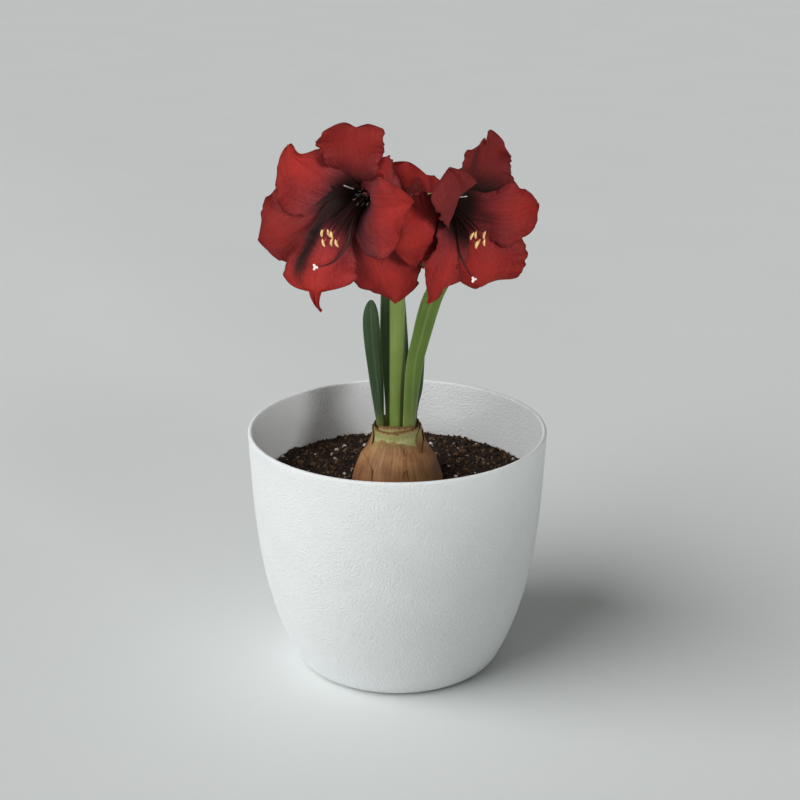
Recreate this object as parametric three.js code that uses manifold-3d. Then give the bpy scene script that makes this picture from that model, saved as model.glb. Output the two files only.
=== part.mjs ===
// Amaryllis (Hippeastrum) in a pot: a flowering bulb with one scape, three blooms and four leaves.
// Millimetres, +Z up, front towards -Y, origin at the centre of the pot's underside.
import * as THREE from 'three';
import { mergeVertices } from 'three/addons/utils/BufferGeometryUtils.js';
import Module from 'manifold-3d';

const wasm = await Module();
wasm.setup();

// ---------------------------------------------------------------- driving dimensions
const GAP = 0.35; // clearance between pieces that touch

const POT = {
  rim: 135, // outer radius at the mouth
  foot: 92.5, // outer radius at the floor, before its rounding
  height: 225,
  flare: 9.5, // straight widening over the full height
  belly: 3.4, // power of the curve that draws the wall in towards the foot
  wall: 4,
  floor: 6,
  footRound: 11,
  sides: 40,
};
const SOIL = { edge: 171, crown: 176 }; // top height at the wall and at the bulb
const BULB = { base: 127, plate: 13, girth: 42, girthHeight: 168, neck: 21, neckTop: 228 };
const BULB_SIDES = 32; // the soil's socket has the same, so that the two stay apart all round
const SCAPE = { radius: 7.2, foot: 206, top: 365, sides: 20 };
const PEDICEL = { radius: 3.8, ovary: 5.6, ovaryLength: 20, arch: 34, sides: 10, steps: 8 };
const LEAF = { rib: 3, margin: 1.2, root: 212, roundTip: 0.14, rows: 14, columns: 5 };
const SPATHE = { thickness: 0.8, rows: 8, columns: 5, foot: 352 };
const TEPAL = {
  sepal: false, // one of the three outer tepals
  root: 3.4, // distance of the midrib's start from the bloom's axis
  sepalStep: 1.6, // how much further out the three sepals stand than the three petals
  thickness: 1,
  rows: 12,
  columns: 6,
  start: 0.1, // share of the length that is buried in the tube's own wall
  bearing: 0, // degrees clockwise from the top, seen from the front of the bloom
  length: 100,
  throat: [12, 24], // midrib's angle from the axis, at the first two STATIONS along it
  lean: [46, 72, 96], // the same at the other three
  left: [17, 26, 30, 24, 8], // width left of the midrib, at WIDTH_STATIONS
  right: [17, 26, 30, 24, 8],
  closing: 0.9, // where the outline begins to close round the tip
  tail: 0, // share of the length that is a narrow drawn-out tip
  tailWidth: 7,
  sway: 0, // sideways bend of the midrib
  twist: 0, // turn about the midrib, positive where the left margin comes forwards
  cup: 0, // bend of each half, positive towards the front
  hook: 20, // extra backward bend at the very tip
  notch: [0, 0, 6], // in the tip's edge: its place beside the midrib, its depth and its half width
  wave: 3.5, // height of the margin's waves
  waves: 3.5,
  frill: 0.04, // ripple of the outline
  ripples: 5,
  open: [0.22, 0.55], // where the tube's roundness gives way to the cup
};
const STATIONS = [0, 0.2, 0.45, 0.75, 1];
const WIDTH_STATIONS = [0, 0.3, 0.5, 0.7, 0.85, 1];
const TUBE = { foot: 5.2, mouth: 9.4, depth: 16, hollow: 5 };
const SMOOTHING = 0.3; // how far a fused body may depart from its pieces
const STAMEN = {
  boss: 3.2, ring: 2.2, foot: 9, filament: 0.9, style: 1.1, antherLength: 8, antherWidth: 1.5, lobe: 1.3,
};

const COLOURS = {
  pot: 0xe4e7e6, soil: 0x3a2a20, bulb: 0x8a6238, scape: 0x73914a,
  leafDark: 0x2f4a30, leafMid: 0x486f30, spathe: 0xa08a62, perianth: 0xa81c20, stamens: 0xc9464a,
};

// ---------------------------------------------------------------- small helpers
const rad = (degrees) => (degrees * Math.PI) / 180;
const vec = (p) => new THREE.Vector3(...p);
const at = (x, y) => new THREE.Vector2(x, y);

function ease(from, to, x) {
  const u = Math.min(Math.max((x - from) / (to - from), 0), 1);
  return u * u * (3 - 2 * u);
}

// Smooth curve through values given at stations.
function through(stations, values, t) {
  const slope = values.map((value, i) => {
    const a = Math.max(i - 1, 0);
    const b = Math.min(i + 1, values.length - 1);
    return (values[b] - values[a]) / (stations[b] - stations[a]);
  });
  let i = 0;
  while (i < stations.length - 2 && t >= stations[i + 1]) i += 1;
  const h = stations[i + 1] - stations[i];
  const u = (t - stations[i]) / h;
  return (2 * u ** 3 - 3 * u ** 2 + 1) * values[i] + (u ** 3 - 2 * u ** 2 + u) * h * slope[i]
    + (3 * u ** 2 - 2 * u ** 3) * values[i + 1] + (u ** 3 - u ** 2) * h * slope[i + 1];
}

function geometryOf(points, faces) {
  const geometry = new THREE.BufferGeometry();
  const places = points.flatMap((p) => p.toArray());
  geometry.setAttribute('position', new THREE.Float32BufferAttribute(places, 3));
  geometry.setIndex(faces.flat());
  return geometry;
}

// One closed body: shared vertices merged, collapsed triangles dropped, faces pointing out.
function closed(geometry) {
  geometry.deleteAttribute('normal');
  geometry.deleteAttribute('uv');
  const merged = mergeVertices(geometry, 1e-4);
  const position = merged.getAttribute('position');
  const corner = (i) => new THREE.Vector3().fromBufferAttribute(position, i);
  const faces = [];
  let volume = 0;
  for (let i = 0; i < merged.index.count; i += 3) {
    const [a, b, c] = [0, 1, 2].map((k) => merged.index.getX(i + k));
    if (a === b || b === c || a === c) continue;
    faces.push([a, b, c]);
    volume += corner(a).dot(corner(b).cross(corner(c)));
  }
  merged.setIndex((volume < 0 ? faces.map(([a, b, c]) => [a, c, b]) : faces).flat());
  return merged;
}

function solid(geometry) {
  const body = closed(geometry);
  return new wasm.Manifold(new wasm.Mesh({
    numProp: 3,
    vertProperties: new Float32Array(body.getAttribute('position').array),
    triVerts: new Uint32Array(body.index.array),
  }));
}

// The outermost shell of a body, so that pockets sealed inside it are filled.
function largest(body) {
  return body.decompose().reduce((best, shell) => (shell.volume() > best.volume() ? shell : best));
}

// Pieces grown together as one body. Shells that meet only in a corner part when the body is made anew.
function fused(geometries) {
  const whole = geometries.map(solid).reduce((body, piece) => body.add(piece)).simplify(SMOOTHING);
  return largest(solid(geometryFrom(largest(whole))));
}

function geometryFrom(manifold) {
  const mesh = manifold.getMesh();
  const geometry = new THREE.BufferGeometry();
  geometry.setAttribute('position', new THREE.BufferAttribute(mesh.vertProperties, 3));
  geometry.setIndex(new THREE.BufferAttribute(mesh.triVerts, 1));
  return geometry;
}

// Where a column lies across a blade, from -1 at the left margin to 1 at the right one.
const acrossShare = (j, columns) => (2 * j) / (columns - 1) - 1;

// A blade with a front and a back face: the grid's rows run along it and its columns across it.
function blade(grid, thicknessAt) {
  const rows = grid.length;
  const columns = grid[0].length;
  const within = (i, count) => Math.min(Math.max(i, 0), count - 1);
  const pick = (i, j) => grid[within(i, rows)][within(j, columns)];
  const front = [];
  const back = [];
  for (let i = 0; i < rows; i += 1) {
    for (let j = 0; j < columns; j += 1) {
      const across = pick(i, j + 1).clone().sub(pick(i, j - 1));
      const along = pick(i + 1, j).clone().sub(pick(i - 1, j));
      const half = across.cross(along).setLength(thicknessAt(acrossShare(j, columns)) / 2);
      front.push(grid[i][j].clone().add(half));
      back.push(grid[i][j].clone().sub(half));
    }
  }
  const n = front.length;
  const faces = [];
  for (let i = 0; i < rows - 1; i += 1) {
    for (let j = 0; j < columns - 1; j += 1) {
      const [a, b] = [i * columns + j, (i + 1) * columns + j];
      faces.push([a, a + 1, b + 1], [a, b + 1, b], [a + n, b + n + 1, a + n + 1], [a + n, b + n, b + n + 1]);
    }
  }
  const border = [];
  for (let j = 0; j < columns - 1; j += 1) border.push(j);
  for (let i = 0; i < rows - 1; i += 1) border.push(i * columns + columns - 1);
  for (let j = columns - 1; j > 0; j -= 1) border.push((rows - 1) * columns + j);
  for (let i = rows - 1; i > 0; i -= 1) border.push(i * columns);
  border.forEach((a, k) => {
    const b = border[(k + 1) % border.length];
    faces.push([a, a + n, b + n], [a, b + n, b]);
  });
  return geometryOf([...front, ...back], faces);
}

// A round stalk of changing radius along a curve, closed at both ends.
function stalk(curve, radiusAt, sides, steps) {
  const frames = curve.computeFrenetFrames(steps, false);
  const points = [];
  const faces = [];
  for (let i = 0; i <= steps; i += 1) {
    const centre = curve.getPointAt(i / steps);
    for (let k = 0; k < sides; k += 1) {
      const angle = (2 * Math.PI * k) / sides;
      points.push(centre.clone()
        .addScaledVector(frames.normals[i], radiusAt(i / steps) * Math.cos(angle))
        .addScaledVector(frames.binormals[i], radiusAt(i / steps) * Math.sin(angle)));
    }
  }
  for (let i = 0; i < steps; i += 1) {
    for (let k = 0; k < sides; k += 1) {
      const [a, b] = [i * sides + k, i * sides + ((k + 1) % sides)];
      faces.push([a, b, b + sides], [a, b + sides, a + sides]);
    }
  }
  const last = steps * sides;
  for (let k = 1; k < sides - 1; k += 1) faces.push([0, k + 1, k], [last, last + k, last + k + 1]);
  return geometryOf(points, faces);
}

function turned(profile, sides) {
  return new THREE.LatheGeometry(profile, sides).rotateX(Math.PI / 2);
}

function mesh(name, geometry, colour, roughness) {
  const material = new THREE.MeshStandardMaterial({ color: colour, roughness, metalness: 0 });
  const piece = new THREE.Mesh(closed(geometry), material);
  piece.name = name;
  return piece;
}

// ---------------------------------------------------------------- pot, soil and bulb
function potRadius(z) {
  const drop = 1 - z / POT.height;
  return POT.rim - POT.flare * drop - (POT.rim - POT.flare - POT.foot) * drop ** POT.belly;
}

const innerRadius = (z) => potRadius(z) - POT.wall;

function potProfile() {
  const lip = POT.wall / 2;
  const wallHeights = [32, 58, 90, 130, 180];
  const footOut = new THREE.QuadraticBezierCurve(
    at(POT.foot - POT.footRound, 0), at(POT.foot, 0), at(potRadius(POT.footRound), POT.footRound));
  const inside = POT.floor + POT.footRound;
  const footIn = new THREE.QuadraticBezierCurve(
    at(innerRadius(inside), inside), at(innerRadius(POT.floor), POT.floor),
    at(innerRadius(POT.floor) - POT.footRound, POT.floor));
  const lipRound = new THREE.EllipseCurve(POT.rim - lip, POT.height - lip, lip, lip, 0, Math.PI);
  return [
    at(0, 0), ...footOut.getPoints(2),
    ...wallHeights.map((z) => at(potRadius(z), z)),
    ...lipRound.getPoints(4),
    ...wallHeights.toReversed().map((z) => at(innerRadius(z), z)),
    ...footIn.getPoints(2), at(0, POT.floor),
  ];
}

const bulbOutline = new THREE.SplineCurve([
  at(BULB.plate, BULB.base), at(37, 145), at(BULB.girth, BULB.girthHeight), at(36, 192), at(24, 213),
  at(BULB.neck, BULB.neckTop),
]).getPoints(9);

const bulbProfile = () => [at(0, BULB.base), ...bulbOutline, at(0, BULB.neckTop)];

// The soil follows the pot's inside, and dips in the middle to the socket that the bulb stands in.
function soilProfile() {
  const heights = [POT.floor + POT.footRound, 45, 80, 125, SOIL.edge];
  const socket = bulbOutline.filter((p) => p.y < SOIL.crown - 4);
  return [
    at(0, POT.floor + GAP), at(innerRadius(POT.floor) - POT.footRound, POT.floor + GAP),
    ...heights.map((z) => at(innerRadius(z) - 3 * GAP, z)),
    at(90, SOIL.edge + 2), at(56, SOIL.crown),
    at(BULB.girth + GAP, SOIL.crown),
    ...socket.toReversed().map((p) => at(p.x + GAP, p.y - GAP)),
    at(0, BULB.base - GAP),
  ];
}

// ---------------------------------------------------------------- leaves
// A strap leaf: path of its midrib, half widths along it, and the direction across it at foot and tip.
const LEAVES = {
  leaf_left: {
    path: [[-13.5, 3, LEAF.root], [-15, 5, 232], [-20, 8, 277], [-23.2, 8, 318], [-23.4, 8, 341]],
    half: [5.4, 5.6, 6.2, 7.6, 6.4], foot: [0.45, 0.9, 0], tip: [1, 0.1, 0], hollow: 1.2,
    colour: COLOURS.leafDark,
  },
  leaf_back: {
    path: [[-2, 13.5, LEAF.root], [-2, 14, 234], [-2, 18, 273], [-3.6, 19, 322], [-5, 20, 378]],
    half: [8, 9.5, 12.4, 11, 8], foot: [1, 0.05, 0], tip: [1, 0, 0], hollow: -2.2,
    colour: COLOURS.leafDark,
  },
  leaf_right: {
    path: [
      [11, -9, LEAF.root], [12, -10, 235], [15, -12, 283], [20.5, -16, 312], [31, -26, 353], [48, -40, 386],
    ],
    half: [6.4, 6.8, 7.4, 8.4, 6], foot: [0.75, 0.66, 0], tip: [0.97, 0, -0.25], hollow: 2.2,
    colour: COLOURS.leafMid,
  },
  leaf_right_back: {
    path: [[15.6, 3.4, LEAF.root], [16.4, 4, 236], [18.6, 6, 278], [20.6, 8, 304], [22.4, 10, 326]],
    half: [4.6, 5, 5.8, 5.6, 4.4], foot: [-0.3, 0.95, 0], tip: [1, 0.3, 0], hollow: 1,
    colour: COLOURS.leafDark,
  },
};

function leafGrid({ path, half, foot, tip, hollow }, spare = 0) {
  const curve = new THREE.CatmullRomCurve3(path.map(vec), false, 'centripetal');
  const grid = [];
  for (let i = 0; i < LEAF.rows; i += 1) {
    const t = 1 - (1 - i / (LEAF.rows - 1)) ** 1.3;
    const along = curve.getTangentAt(t);
    const across = vec(foot).lerp(vec(tip), ease(0, 0.5, t));
    across.addScaledVector(along, -across.dot(along)).normalize();
    const face = across.clone().cross(along);
    const intoTip = Math.max(t - 1 + LEAF.roundTip, 0) / LEAF.roundTip;
    const width = through(STATIONS, half, t) * Math.sqrt(Math.max(1 - intoTip ** 2, 0.01)) + spare;
    const row = [];
    for (let j = 0; j < LEAF.columns; j += 1) {
      const v = acrossShare(j, LEAF.columns);
      row.push(curve.getPointAt(t)
        .addScaledVector(across, v * width)
        .addScaledVector(face, -hollow * v * v));
    }
    grid.push(row);
  }
  return grid;
}

const leafThickness = (v) => LEAF.margin + (LEAF.rib - LEAF.margin) * (1 - v * v);

// What a leaf base takes out of the bulb's neck: the same blade, a gap larger all round.
function leafPocket(leaf) {
  const grid = leafGrid(leaf, GAP);
  grid[0].forEach((p) => { p.z -= GAP; });
  return blade(grid, (v) => leafThickness(v) + 2 * GAP);
}

function bulbSolid() {
  let bulb = solid(turned(bulbProfile(), BULB_SIDES));
  Object.values(LEAVES).forEach((leaf) => { bulb = bulb.subtract(solid(leafPocket(leaf))); });
  const depth = BULB.neckTop - SCAPE.foot + GAP;
  const hole = new THREE.CylinderGeometry(SCAPE.radius + GAP, SCAPE.radius + GAP, 2 * depth, SCAPE.sides);
  return bulb.subtract(solid(hole.rotateX(Math.PI / 2).translate(0, 0, BULB.neckTop)));
}

// ---------------------------------------------------------------- blooms
// Each bloom faces along its own axis: yaw from the front towards +X, pitch upwards. In its own
// frame are the middle of its six anthers, the stigma's base and the places that the style runs through.
const BLOOMS = {
  a: {
    seat: [-21.9, -34, 446], yaw: -25, pitch: 0,
    anthers: [-6, -25, 66], stigma: [-9, -45, 84],
    style: [[1, -5.5, 25], [3.2, -17.5, 42], [5.6, -31, 54.5], [1.7, -40.7, 65], [-2.9, -44.6, 74]],
    tepals: [
      { sepal: true, bearing: 16, length: 86, lean: [51, 81, 82], sway: -17, twist: 22, cup: 16,
        notch: [1, 5, 6], left: [16, 22, 28, 31, 15], right: [20, 17, 22, 24, 21] },
      { sepal: true, bearing: -106, length: 110, lean: [60, 85, 68], sway: -17, twist: 14, cup: -17,
        left: [19, 26, 27, 30, 12], right: [16, 25, 32, 25, 6] },
      { sepal: true, bearing: 146, length: 111, lean: [66, 99, 82], sway: 14, cup: -19,
        left: [18, 26, 31, 31, 15], right: [19, 29, 34, 21, 1] },
      { bearing: -56, length: 92, lean: [50, 79, 110], sway: 8, twist: 16, cup: 4,
        left: [21, 36, 39, 22, 12], right: [13, 18, 22, 5, 7] },
      { bearing: -154, length: 127, lean: [42, 56, 121], tail: 0.15, sway: -31, cup: 9,
        left: [11, 17, 28, 33, 22], right: [18, 19, 21, 27, 30] },
      { bearing: 96, length: 106, lean: [32, 64, 100], sway: -25, cup: -9,
        left: [18, 22, 24, 18, 9], right: [26, 40, 37, 18, 1] },
    ],
  },
  b: {
    seat: [32.6, -30, 439.2], yaw: 35, pitch: 0,
    anthers: [-3, -21, 62], stigma: [-21, -48, 80],
    style: [[-1.5, -4, 24], [-6, -13, 37], [-12.8, -25, 48.5], [-16.8, -34.5, 57.5], [-18.1, -43.4, 69]],
    tepals: [
      { sepal: true, bearing: 11, length: 93, lean: [41, 63, 79], sway: -6, cup: 19,
        notch: [-3, 8, 2], left: [18, 22, 20, 16, 0], right: [22, 38, 30, 18, 8] },
      { sepal: true, bearing: -113, length: 97, lean: [55, 82, 105], sway: 11, cup: -4,
        left: [19, 25, 22, 20, 9], right: [19, 30, 36, 29, 12] },
      { sepal: true, bearing: 153, length: 89, lean: [45, 65, 90], sway: 35, twist: -8, cup: 22,
        left: [13, 32, 43, 38, 30], right: [19, 28, 33, 32, 25] },
      { bearing: -71, length: 114, lean: [18, 48, 101], sway: 34, twist: -24, cup: 3,
        left: [18, 23, 26, 28, 13], right: [22, 19, 16, 12, 8] },
      { bearing: -144, length: 114, lean: [47, 80, 82], sway: 3, cup: -6,
        left: [16, 21, 18, 9, 4], right: [16, 18, 19, 17, 0] },
      { bearing: 101, length: 94, lean: [40, 76, 87], sway: -15, twist: -10, cup: 5,
        left: [15, 14, 23, 16, 2], right: [19, 26, 30, 20, 8] },
    ],
  },
  c: {
    seat: [5, 22, 409], yaw: -176, pitch: -10,
    anthers: [0, -14, 58], stigma: [0, -24, 70],
    style: [[0, -3, 26], [0, -12, 50]],
    tepals: [
      { sepal: true, bearing: -9, length: 78, lean: [33, 49, 71], cup: -6,
        left: [17, 23, 25, 20, 11], right: [16, 24, 29, 26, 15] },
      { bearing: 46, length: 79, lean: [39, 48, 64], sway: 6, cup: -25,
        left: [15, 25, 35, 37, 4], right: [16, 22, 25, 19, 7] },
      ...[[110, true], [172, false], [-128, true], [-68, false]].map(([bearing, sepal]) => ({
        sepal, bearing, length: 84, lean: [36, 52, 64],
        left: [16, 24, 28, 22, 6], right: [16, 24, 28, 22, 6],
      })),
    ].map((shape) => ({ ...shape, rows: 10, columns: 5 })),
  },
};

// Widths of a tepal left and right of its midrib, at t along it.
function tepalWidths(s, t) {
  const body = Math.min(t / (1 - s.tail), 1);
  const closing = Math.sqrt(1 - Math.max((body - s.closing) / (1 - s.closing), 0) ** 2);
  const tail = s.tail > 0 ? s.tailWidth * Math.min((1 - t) / (1.3 * s.tail), 1) : 0;
  return [s.left, s.right].map((widths) => (
    Math.max(through(WIDTH_STATIONS, [s.root * 0.62, ...widths], body) * closing, tail, 0.8)));
}

// Place of a point across a tepal, walked outwards from the midrib: sideways and towards the face.
function acrossTepal(v, bend) {
  const strides = 24;
  const place = at(0, 0);
  for (let k = 0; k < strides; k += 1) {
    const angle = (bend * v * (k + 0.5)) / strides;
    place.x += (Math.cos(angle) * v) / strides;
    place.y += (Math.sin(angle) * v) / strides;
  }
  return place;
}

function tepalGrid(shape) {
  const s = { ...TEPAL, ...shape };
  const outward = new THREE.Vector3(Math.sin(rad(s.bearing)), Math.cos(rad(s.bearing)), 0);
  const axis = new THREE.Vector3(0, 0, 1);
  const spine = outward.clone().multiplyScalar(s.root + (s.sepal ? s.sepalStep : 0));
  const rising = (lean) => outward.clone().multiplyScalar(Math.sin(lean))
    .addScaledVector(axis, Math.cos(lean));
  const phase = 3 * rad(s.bearing);
  const leans = [...s.throat, ...s.lean];
  let before = { t: 0, along: rising(rad(leans[0])) };
  const grid = [];
  for (let i = 0; i < s.rows; i += 1) {
    const t = 1 - (1 - s.start) * (1 - i / (s.rows - 1)) ** 1.2;
    const lean = rad(through(STATIONS, leans, t) + s.hook * ease(0.84, 1, t));
    const along = rising(lean);
    const face = outward.clone().multiplyScalar(-Math.cos(lean)).addScaledVector(axis, Math.sin(lean));
    along.applyAxisAngle(face, -rad(s.sway) * ease(0.15, 1, t));
    face.applyAxisAngle(along, rad(s.twist) * ease(0.25, 0.8, t));
    const side = along.clone().cross(face);
    const step = ((t - before.t) * s.length) / 2;
    spine.addScaledVector(before.along, step).addScaledVector(along, step);
    before = { t, along };
    const widths = tepalWidths(s, t);
    const middling = (widths[0] + widths[1]) / 2;
    const wrap = 1 - ease(...s.open, t);
    const tubeBend = (middling * Math.cos(lean)) / Math.max(Math.hypot(spine.x, spine.y), 1);
    const bend = wrap * tubeBend + (1 - wrap) * rad(s.cup) * ease(0.2, 0.6, t);
    const waveHeight = s.wave * ease(0.3, 0.75, t) * Math.min(1, middling / 19);
    const row = [];
    for (let j = 0; j < s.columns; j += 1) {
      const v = acrossShare(j, s.columns);
      const right = v > 0 ? 1 : 0;
      const place = acrossTepal(v, bend);
      const beside = place.x * widths[right];
      const turns = 2 * Math.PI * t;
      const ripple = s.frill * Math.abs(v) ** 3 * Math.sin(s.ripples * turns + 2 * phase + 2.1 * right);
      const [notchPlace, notchDepth, notchHalf] = s.notch;
      const pull = notchDepth * Math.exp(-(((beside - notchPlace) / notchHalf) ** 2)) * ease(0.8, 1, t);
      const wave = waveHeight * Math.abs(v) ** 2.2 * Math.sin(s.waves * turns + phase + 1.7 * right);
      row.push(spine.clone()
        .addScaledVector(along, -pull)
        .addScaledVector(side, beside * (1 + ripple))
        .addScaledVector(face, place.y * widths[right] + wave));
    }
    grid.push(row);
  }
  return grid;
}

function tubeFunnel() {
  const profile = [
    at(0, 0), at(TUBE.foot, 0), at(TUBE.foot + 1.4, 8), at(TUBE.mouth, TUBE.depth),
    at(TUBE.mouth - 1.2, TUBE.depth), at(TUBE.foot - 0.4, 9), at(0, TUBE.hollow),
  ];
  return turned(profile, 18);
}

function perianthSolid({ tepals }) {
  const blades = tepals.map((shape) => blade(tepalGrid(shape), () => TEPAL.thickness));
  return fused([tubeFunnel(), ...blades]);
}

// Six filaments come out of the throat and carry the anthers; the style hangs below and reaches past them.
function stamensSolid({ anthers, stigma, style }) {
  const reach = (tip, fromX, fromY) => {
    const [x, y, z] = tip;
    const part = (share, height) => (
      vec([fromX + (x - fromX) * share, fromY + (y - fromY) * share, z * height]));
    return new THREE.CatmullRomCurve3([
      vec([fromX, fromY, STAMEN.foot]), part(0.18, 0.42), part(0.66, 0.78), vec([x, y, z]),
    ]);
  };
  const bossLine = new THREE.LineCurve3(vec([0, 0, STAMEN.foot - 0.7]), vec([0, 0, STAMEN.foot + 3]));
  const pieces = [stalk(bossLine, () => STAMEN.boss, 10, 1)];
  for (let k = 0; k < 6; k += 1) {
    const angle = ((k + 0.5) / 6) * Math.PI;
    const level = k % 2 === 0 ? 1 : -1;
    const [fromX, fromY] = [-STAMEN.ring * Math.cos(angle), STAMEN.ring * level * Math.sin(angle)];
    const tip = [
      anthers[0] + 2.6 * (k - 2.5), anthers[1] + 3.6 * level, anthers[2] + 3 * Math.sin(k * 1.9),
    ];
    pieces.push(stalk(reach(tip, fromX, fromY), () => STAMEN.filament, 4, 4));
    const lean = vec([0.25 * Math.cos(k * 2), 0.9, 0.3]).setLength(STAMEN.antherLength / 2);
    const anther = new THREE.LineCurve3(vec(tip).sub(lean), vec(tip).add(lean));
    pieces.push(stalk(anther, (t) => STAMEN.antherWidth * (0.45 + 0.55 * Math.sin(Math.PI * t)), 5, 2));
  }
  const styleLine = new THREE.CatmullRomCurve3([[0, 0, STAMEN.foot], ...style, stigma].map(vec));
  pieces.push(stalk(styleLine, () => STAMEN.style, 5, 9));
  for (let k = 0; k < 3; k += 1) {
    const out = vec([Math.cos(2.1 * k), Math.sin(2.1 * k), 0.5]).setLength(3);
    pieces.push(stalk(new THREE.LineCurve3(vec(stigma), vec(stigma).add(out)), () => STAMEN.lobe, 5, 1));
  }
  return fused(pieces);
}

// The matrix that carries a bloom's own right, up and forward directions to the plant's frame.
function bloomMatrix({ seat, yaw, pitch }) {
  const level = Math.cos(rad(pitch));
  const forward = vec([Math.sin(rad(yaw)) * level, -Math.cos(rad(yaw)) * level, Math.sin(rad(pitch))]);
  const up = new THREE.Vector3(0, 0, 1);
  up.addScaledVector(forward, -forward.z).normalize();
  return new THREE.Matrix4().makeBasis(up.clone().cross(forward), up, forward).setPosition(...seat);
}

function bloomGroup(letter, bloom) {
  const group = new THREE.Group();
  group.add(mesh(`perianth_${letter}`, geometryFrom(perianthSolid(bloom)), COLOURS.perianth, 0.6));
  group.add(mesh(`stamens_${letter}`, geometryFrom(stamensSolid(bloom)), COLOURS.stamens, 0.6));
  group.applyMatrix4(bloomMatrix(bloom));
  return group;
}

// ---------------------------------------------------------------- scape and spathe
// The scape grows on into a pedicel for each bloom, which swells to the ovary just behind the tube.
function pedicel(bloom) {
  const forward = new THREE.Vector3(0, 0, 1).transformDirection(bloomMatrix(bloom));
  const end = vec(bloom.seat).addScaledVector(forward, -GAP);
  const bend = vec(bloom.seat).addScaledVector(forward, -PEDICEL.arch);
  const curve = new THREE.QuadraticBezierCurve3(vec([0, 0, SCAPE.top - 4]), bend, end);
  const ovaryShare = PEDICEL.ovaryLength / curve.getLength();
  const radiusAt = (t) => {
    const u = Math.max((t - (1 - ovaryShare)) / ovaryShare, 0);
    return PEDICEL.radius + (PEDICEL.ovary - PEDICEL.radius) * Math.sin(Math.PI * u * 0.8);
  };
  return stalk(curve, radiusAt, PEDICEL.sides, PEDICEL.steps);
}

function scapeSolid() {
  const stem = new THREE.CylinderGeometry(
    SCAPE.radius - 0.4, SCAPE.radius, SCAPE.top - SCAPE.foot, SCAPE.sides);
  stem.rotateX(Math.PI / 2).translate(0, 0, (SCAPE.top + SCAPE.foot) / 2);
  return fused([stem, ...Object.values(BLOOMS).map(pedicel)]);
}

// A papery bract that stands against the scape's top and falls outwards.
function spatheGeometry(side) {
  const off = SCAPE.radius + GAP + SPATHE.thickness / 2 + 0.1;
  const path = [
    [side * off, 0, SPATHE.foot], [side * off, 0, SPATHE.foot + 8], [side * 14, 3, 370], [side * 26, 8, 374],
  ];
  const half = [4, 6, 6.5, 4, 1];
  const curve = new THREE.CatmullRomCurve3(path.map(vec));
  const grid = [];
  for (let i = 0; i < SPATHE.rows; i += 1) {
    const t = i / (SPATHE.rows - 1);
    const along = curve.getTangentAt(t);
    const across = vec([0, 1, 0]);
    across.addScaledVector(along, -across.dot(along)).normalize();
    const row = [];
    for (let j = 0; j < SPATHE.columns; j += 1) {
      const v = acrossShare(j, SPATHE.columns);
      const crumple = vec([side * v * v * 0.6, 0, 0.8 * Math.sin(9 * t) * Math.abs(v)]);
      row.push(curve.getPointAt(t).addScaledVector(across, v * through(STATIONS, half, t)).add(crumple));
    }
    grid.push(row);
  }
  return blade(grid, () => SPATHE.thickness);
}

// ---------------------------------------------------------------- the whole plant
const plant = new THREE.Group();
plant.name = 'amaryllis_in_pot';
plant.add(mesh('pot', turned(potProfile(), POT.sides), COLOURS.pot, 0.55));
plant.add(mesh('soil', turned(soilProfile(), BULB_SIDES), COLOURS.soil, 0.95));
plant.add(mesh('bulb', geometryFrom(bulbSolid()), COLOURS.bulb, 0.7));
Object.entries(LEAVES).forEach(([name, leaf]) => {
  plant.add(mesh(name, blade(leafGrid(leaf), leafThickness), leaf.colour, 0.5));
});
plant.add(mesh('scape', geometryFrom(scapeSolid()), COLOURS.scape, 0.5));
plant.add(mesh('spathe_left', spatheGeometry(-1), COLOURS.spathe, 0.8));
plant.add(mesh('spathe_right', spatheGeometry(1), COLOURS.spathe, 0.8));
Object.entries(BLOOMS).forEach(([letter, bloom]) => plant.add(bloomGroup(letter, bloom)));

export default plant;
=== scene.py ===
# %% [markdown]
# # An amaryllis in a pot
# A Hippeastrum is a bulb as big as a fist. It stands with its shoulders out of the soil and sends up
# one thick hollow scape, which carries large velvety blooms, and a few strap leaves.
# The frame below holds the plain solids of every piece. This lesson keeps their sizes and places,
# and grows the fine surfaces over them: ruffled tepals, grooved leaves, papery scales, crumbly soil.

import math

import bmesh
import bpy
import numpy as np
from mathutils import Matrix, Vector


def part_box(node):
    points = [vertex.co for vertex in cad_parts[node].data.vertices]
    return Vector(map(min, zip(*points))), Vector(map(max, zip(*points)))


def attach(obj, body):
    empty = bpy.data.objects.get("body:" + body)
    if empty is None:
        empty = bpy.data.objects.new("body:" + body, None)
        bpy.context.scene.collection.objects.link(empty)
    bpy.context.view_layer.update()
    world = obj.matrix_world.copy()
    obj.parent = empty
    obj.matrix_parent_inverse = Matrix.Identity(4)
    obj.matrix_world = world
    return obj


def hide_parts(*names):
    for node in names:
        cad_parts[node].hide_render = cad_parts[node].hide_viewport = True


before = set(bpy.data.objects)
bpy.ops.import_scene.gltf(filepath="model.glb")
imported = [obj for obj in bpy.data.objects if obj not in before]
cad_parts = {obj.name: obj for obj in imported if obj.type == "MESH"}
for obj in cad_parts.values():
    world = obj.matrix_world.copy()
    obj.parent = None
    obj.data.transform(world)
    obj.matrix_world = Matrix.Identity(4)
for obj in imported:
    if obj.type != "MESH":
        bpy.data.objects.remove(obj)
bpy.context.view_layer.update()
BODY = "root"
MM = 0.001  # the lesson writes millimetres, Blender wants metres
print("the frame holds", sorted(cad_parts))

# %% [markdown]
# ## Camera
# The camera stands a little over a metre in front of the pot and looks down into its mouth.
# A long lens keeps the pot's sides nearly upright. It comes first, because it never depends on
# the pieces, and every later render can then be compared with the one before.

# %% Place the camera
CAMERA_PLACE = (2.36, -1311.3, 715.3)
CAMERA_DIP = 19.536  # degrees below the horizon
CAMERA_LENS, CAMERA_SENSOR = 69.52, 36  # millimetres; together they set how much the camera sees


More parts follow.
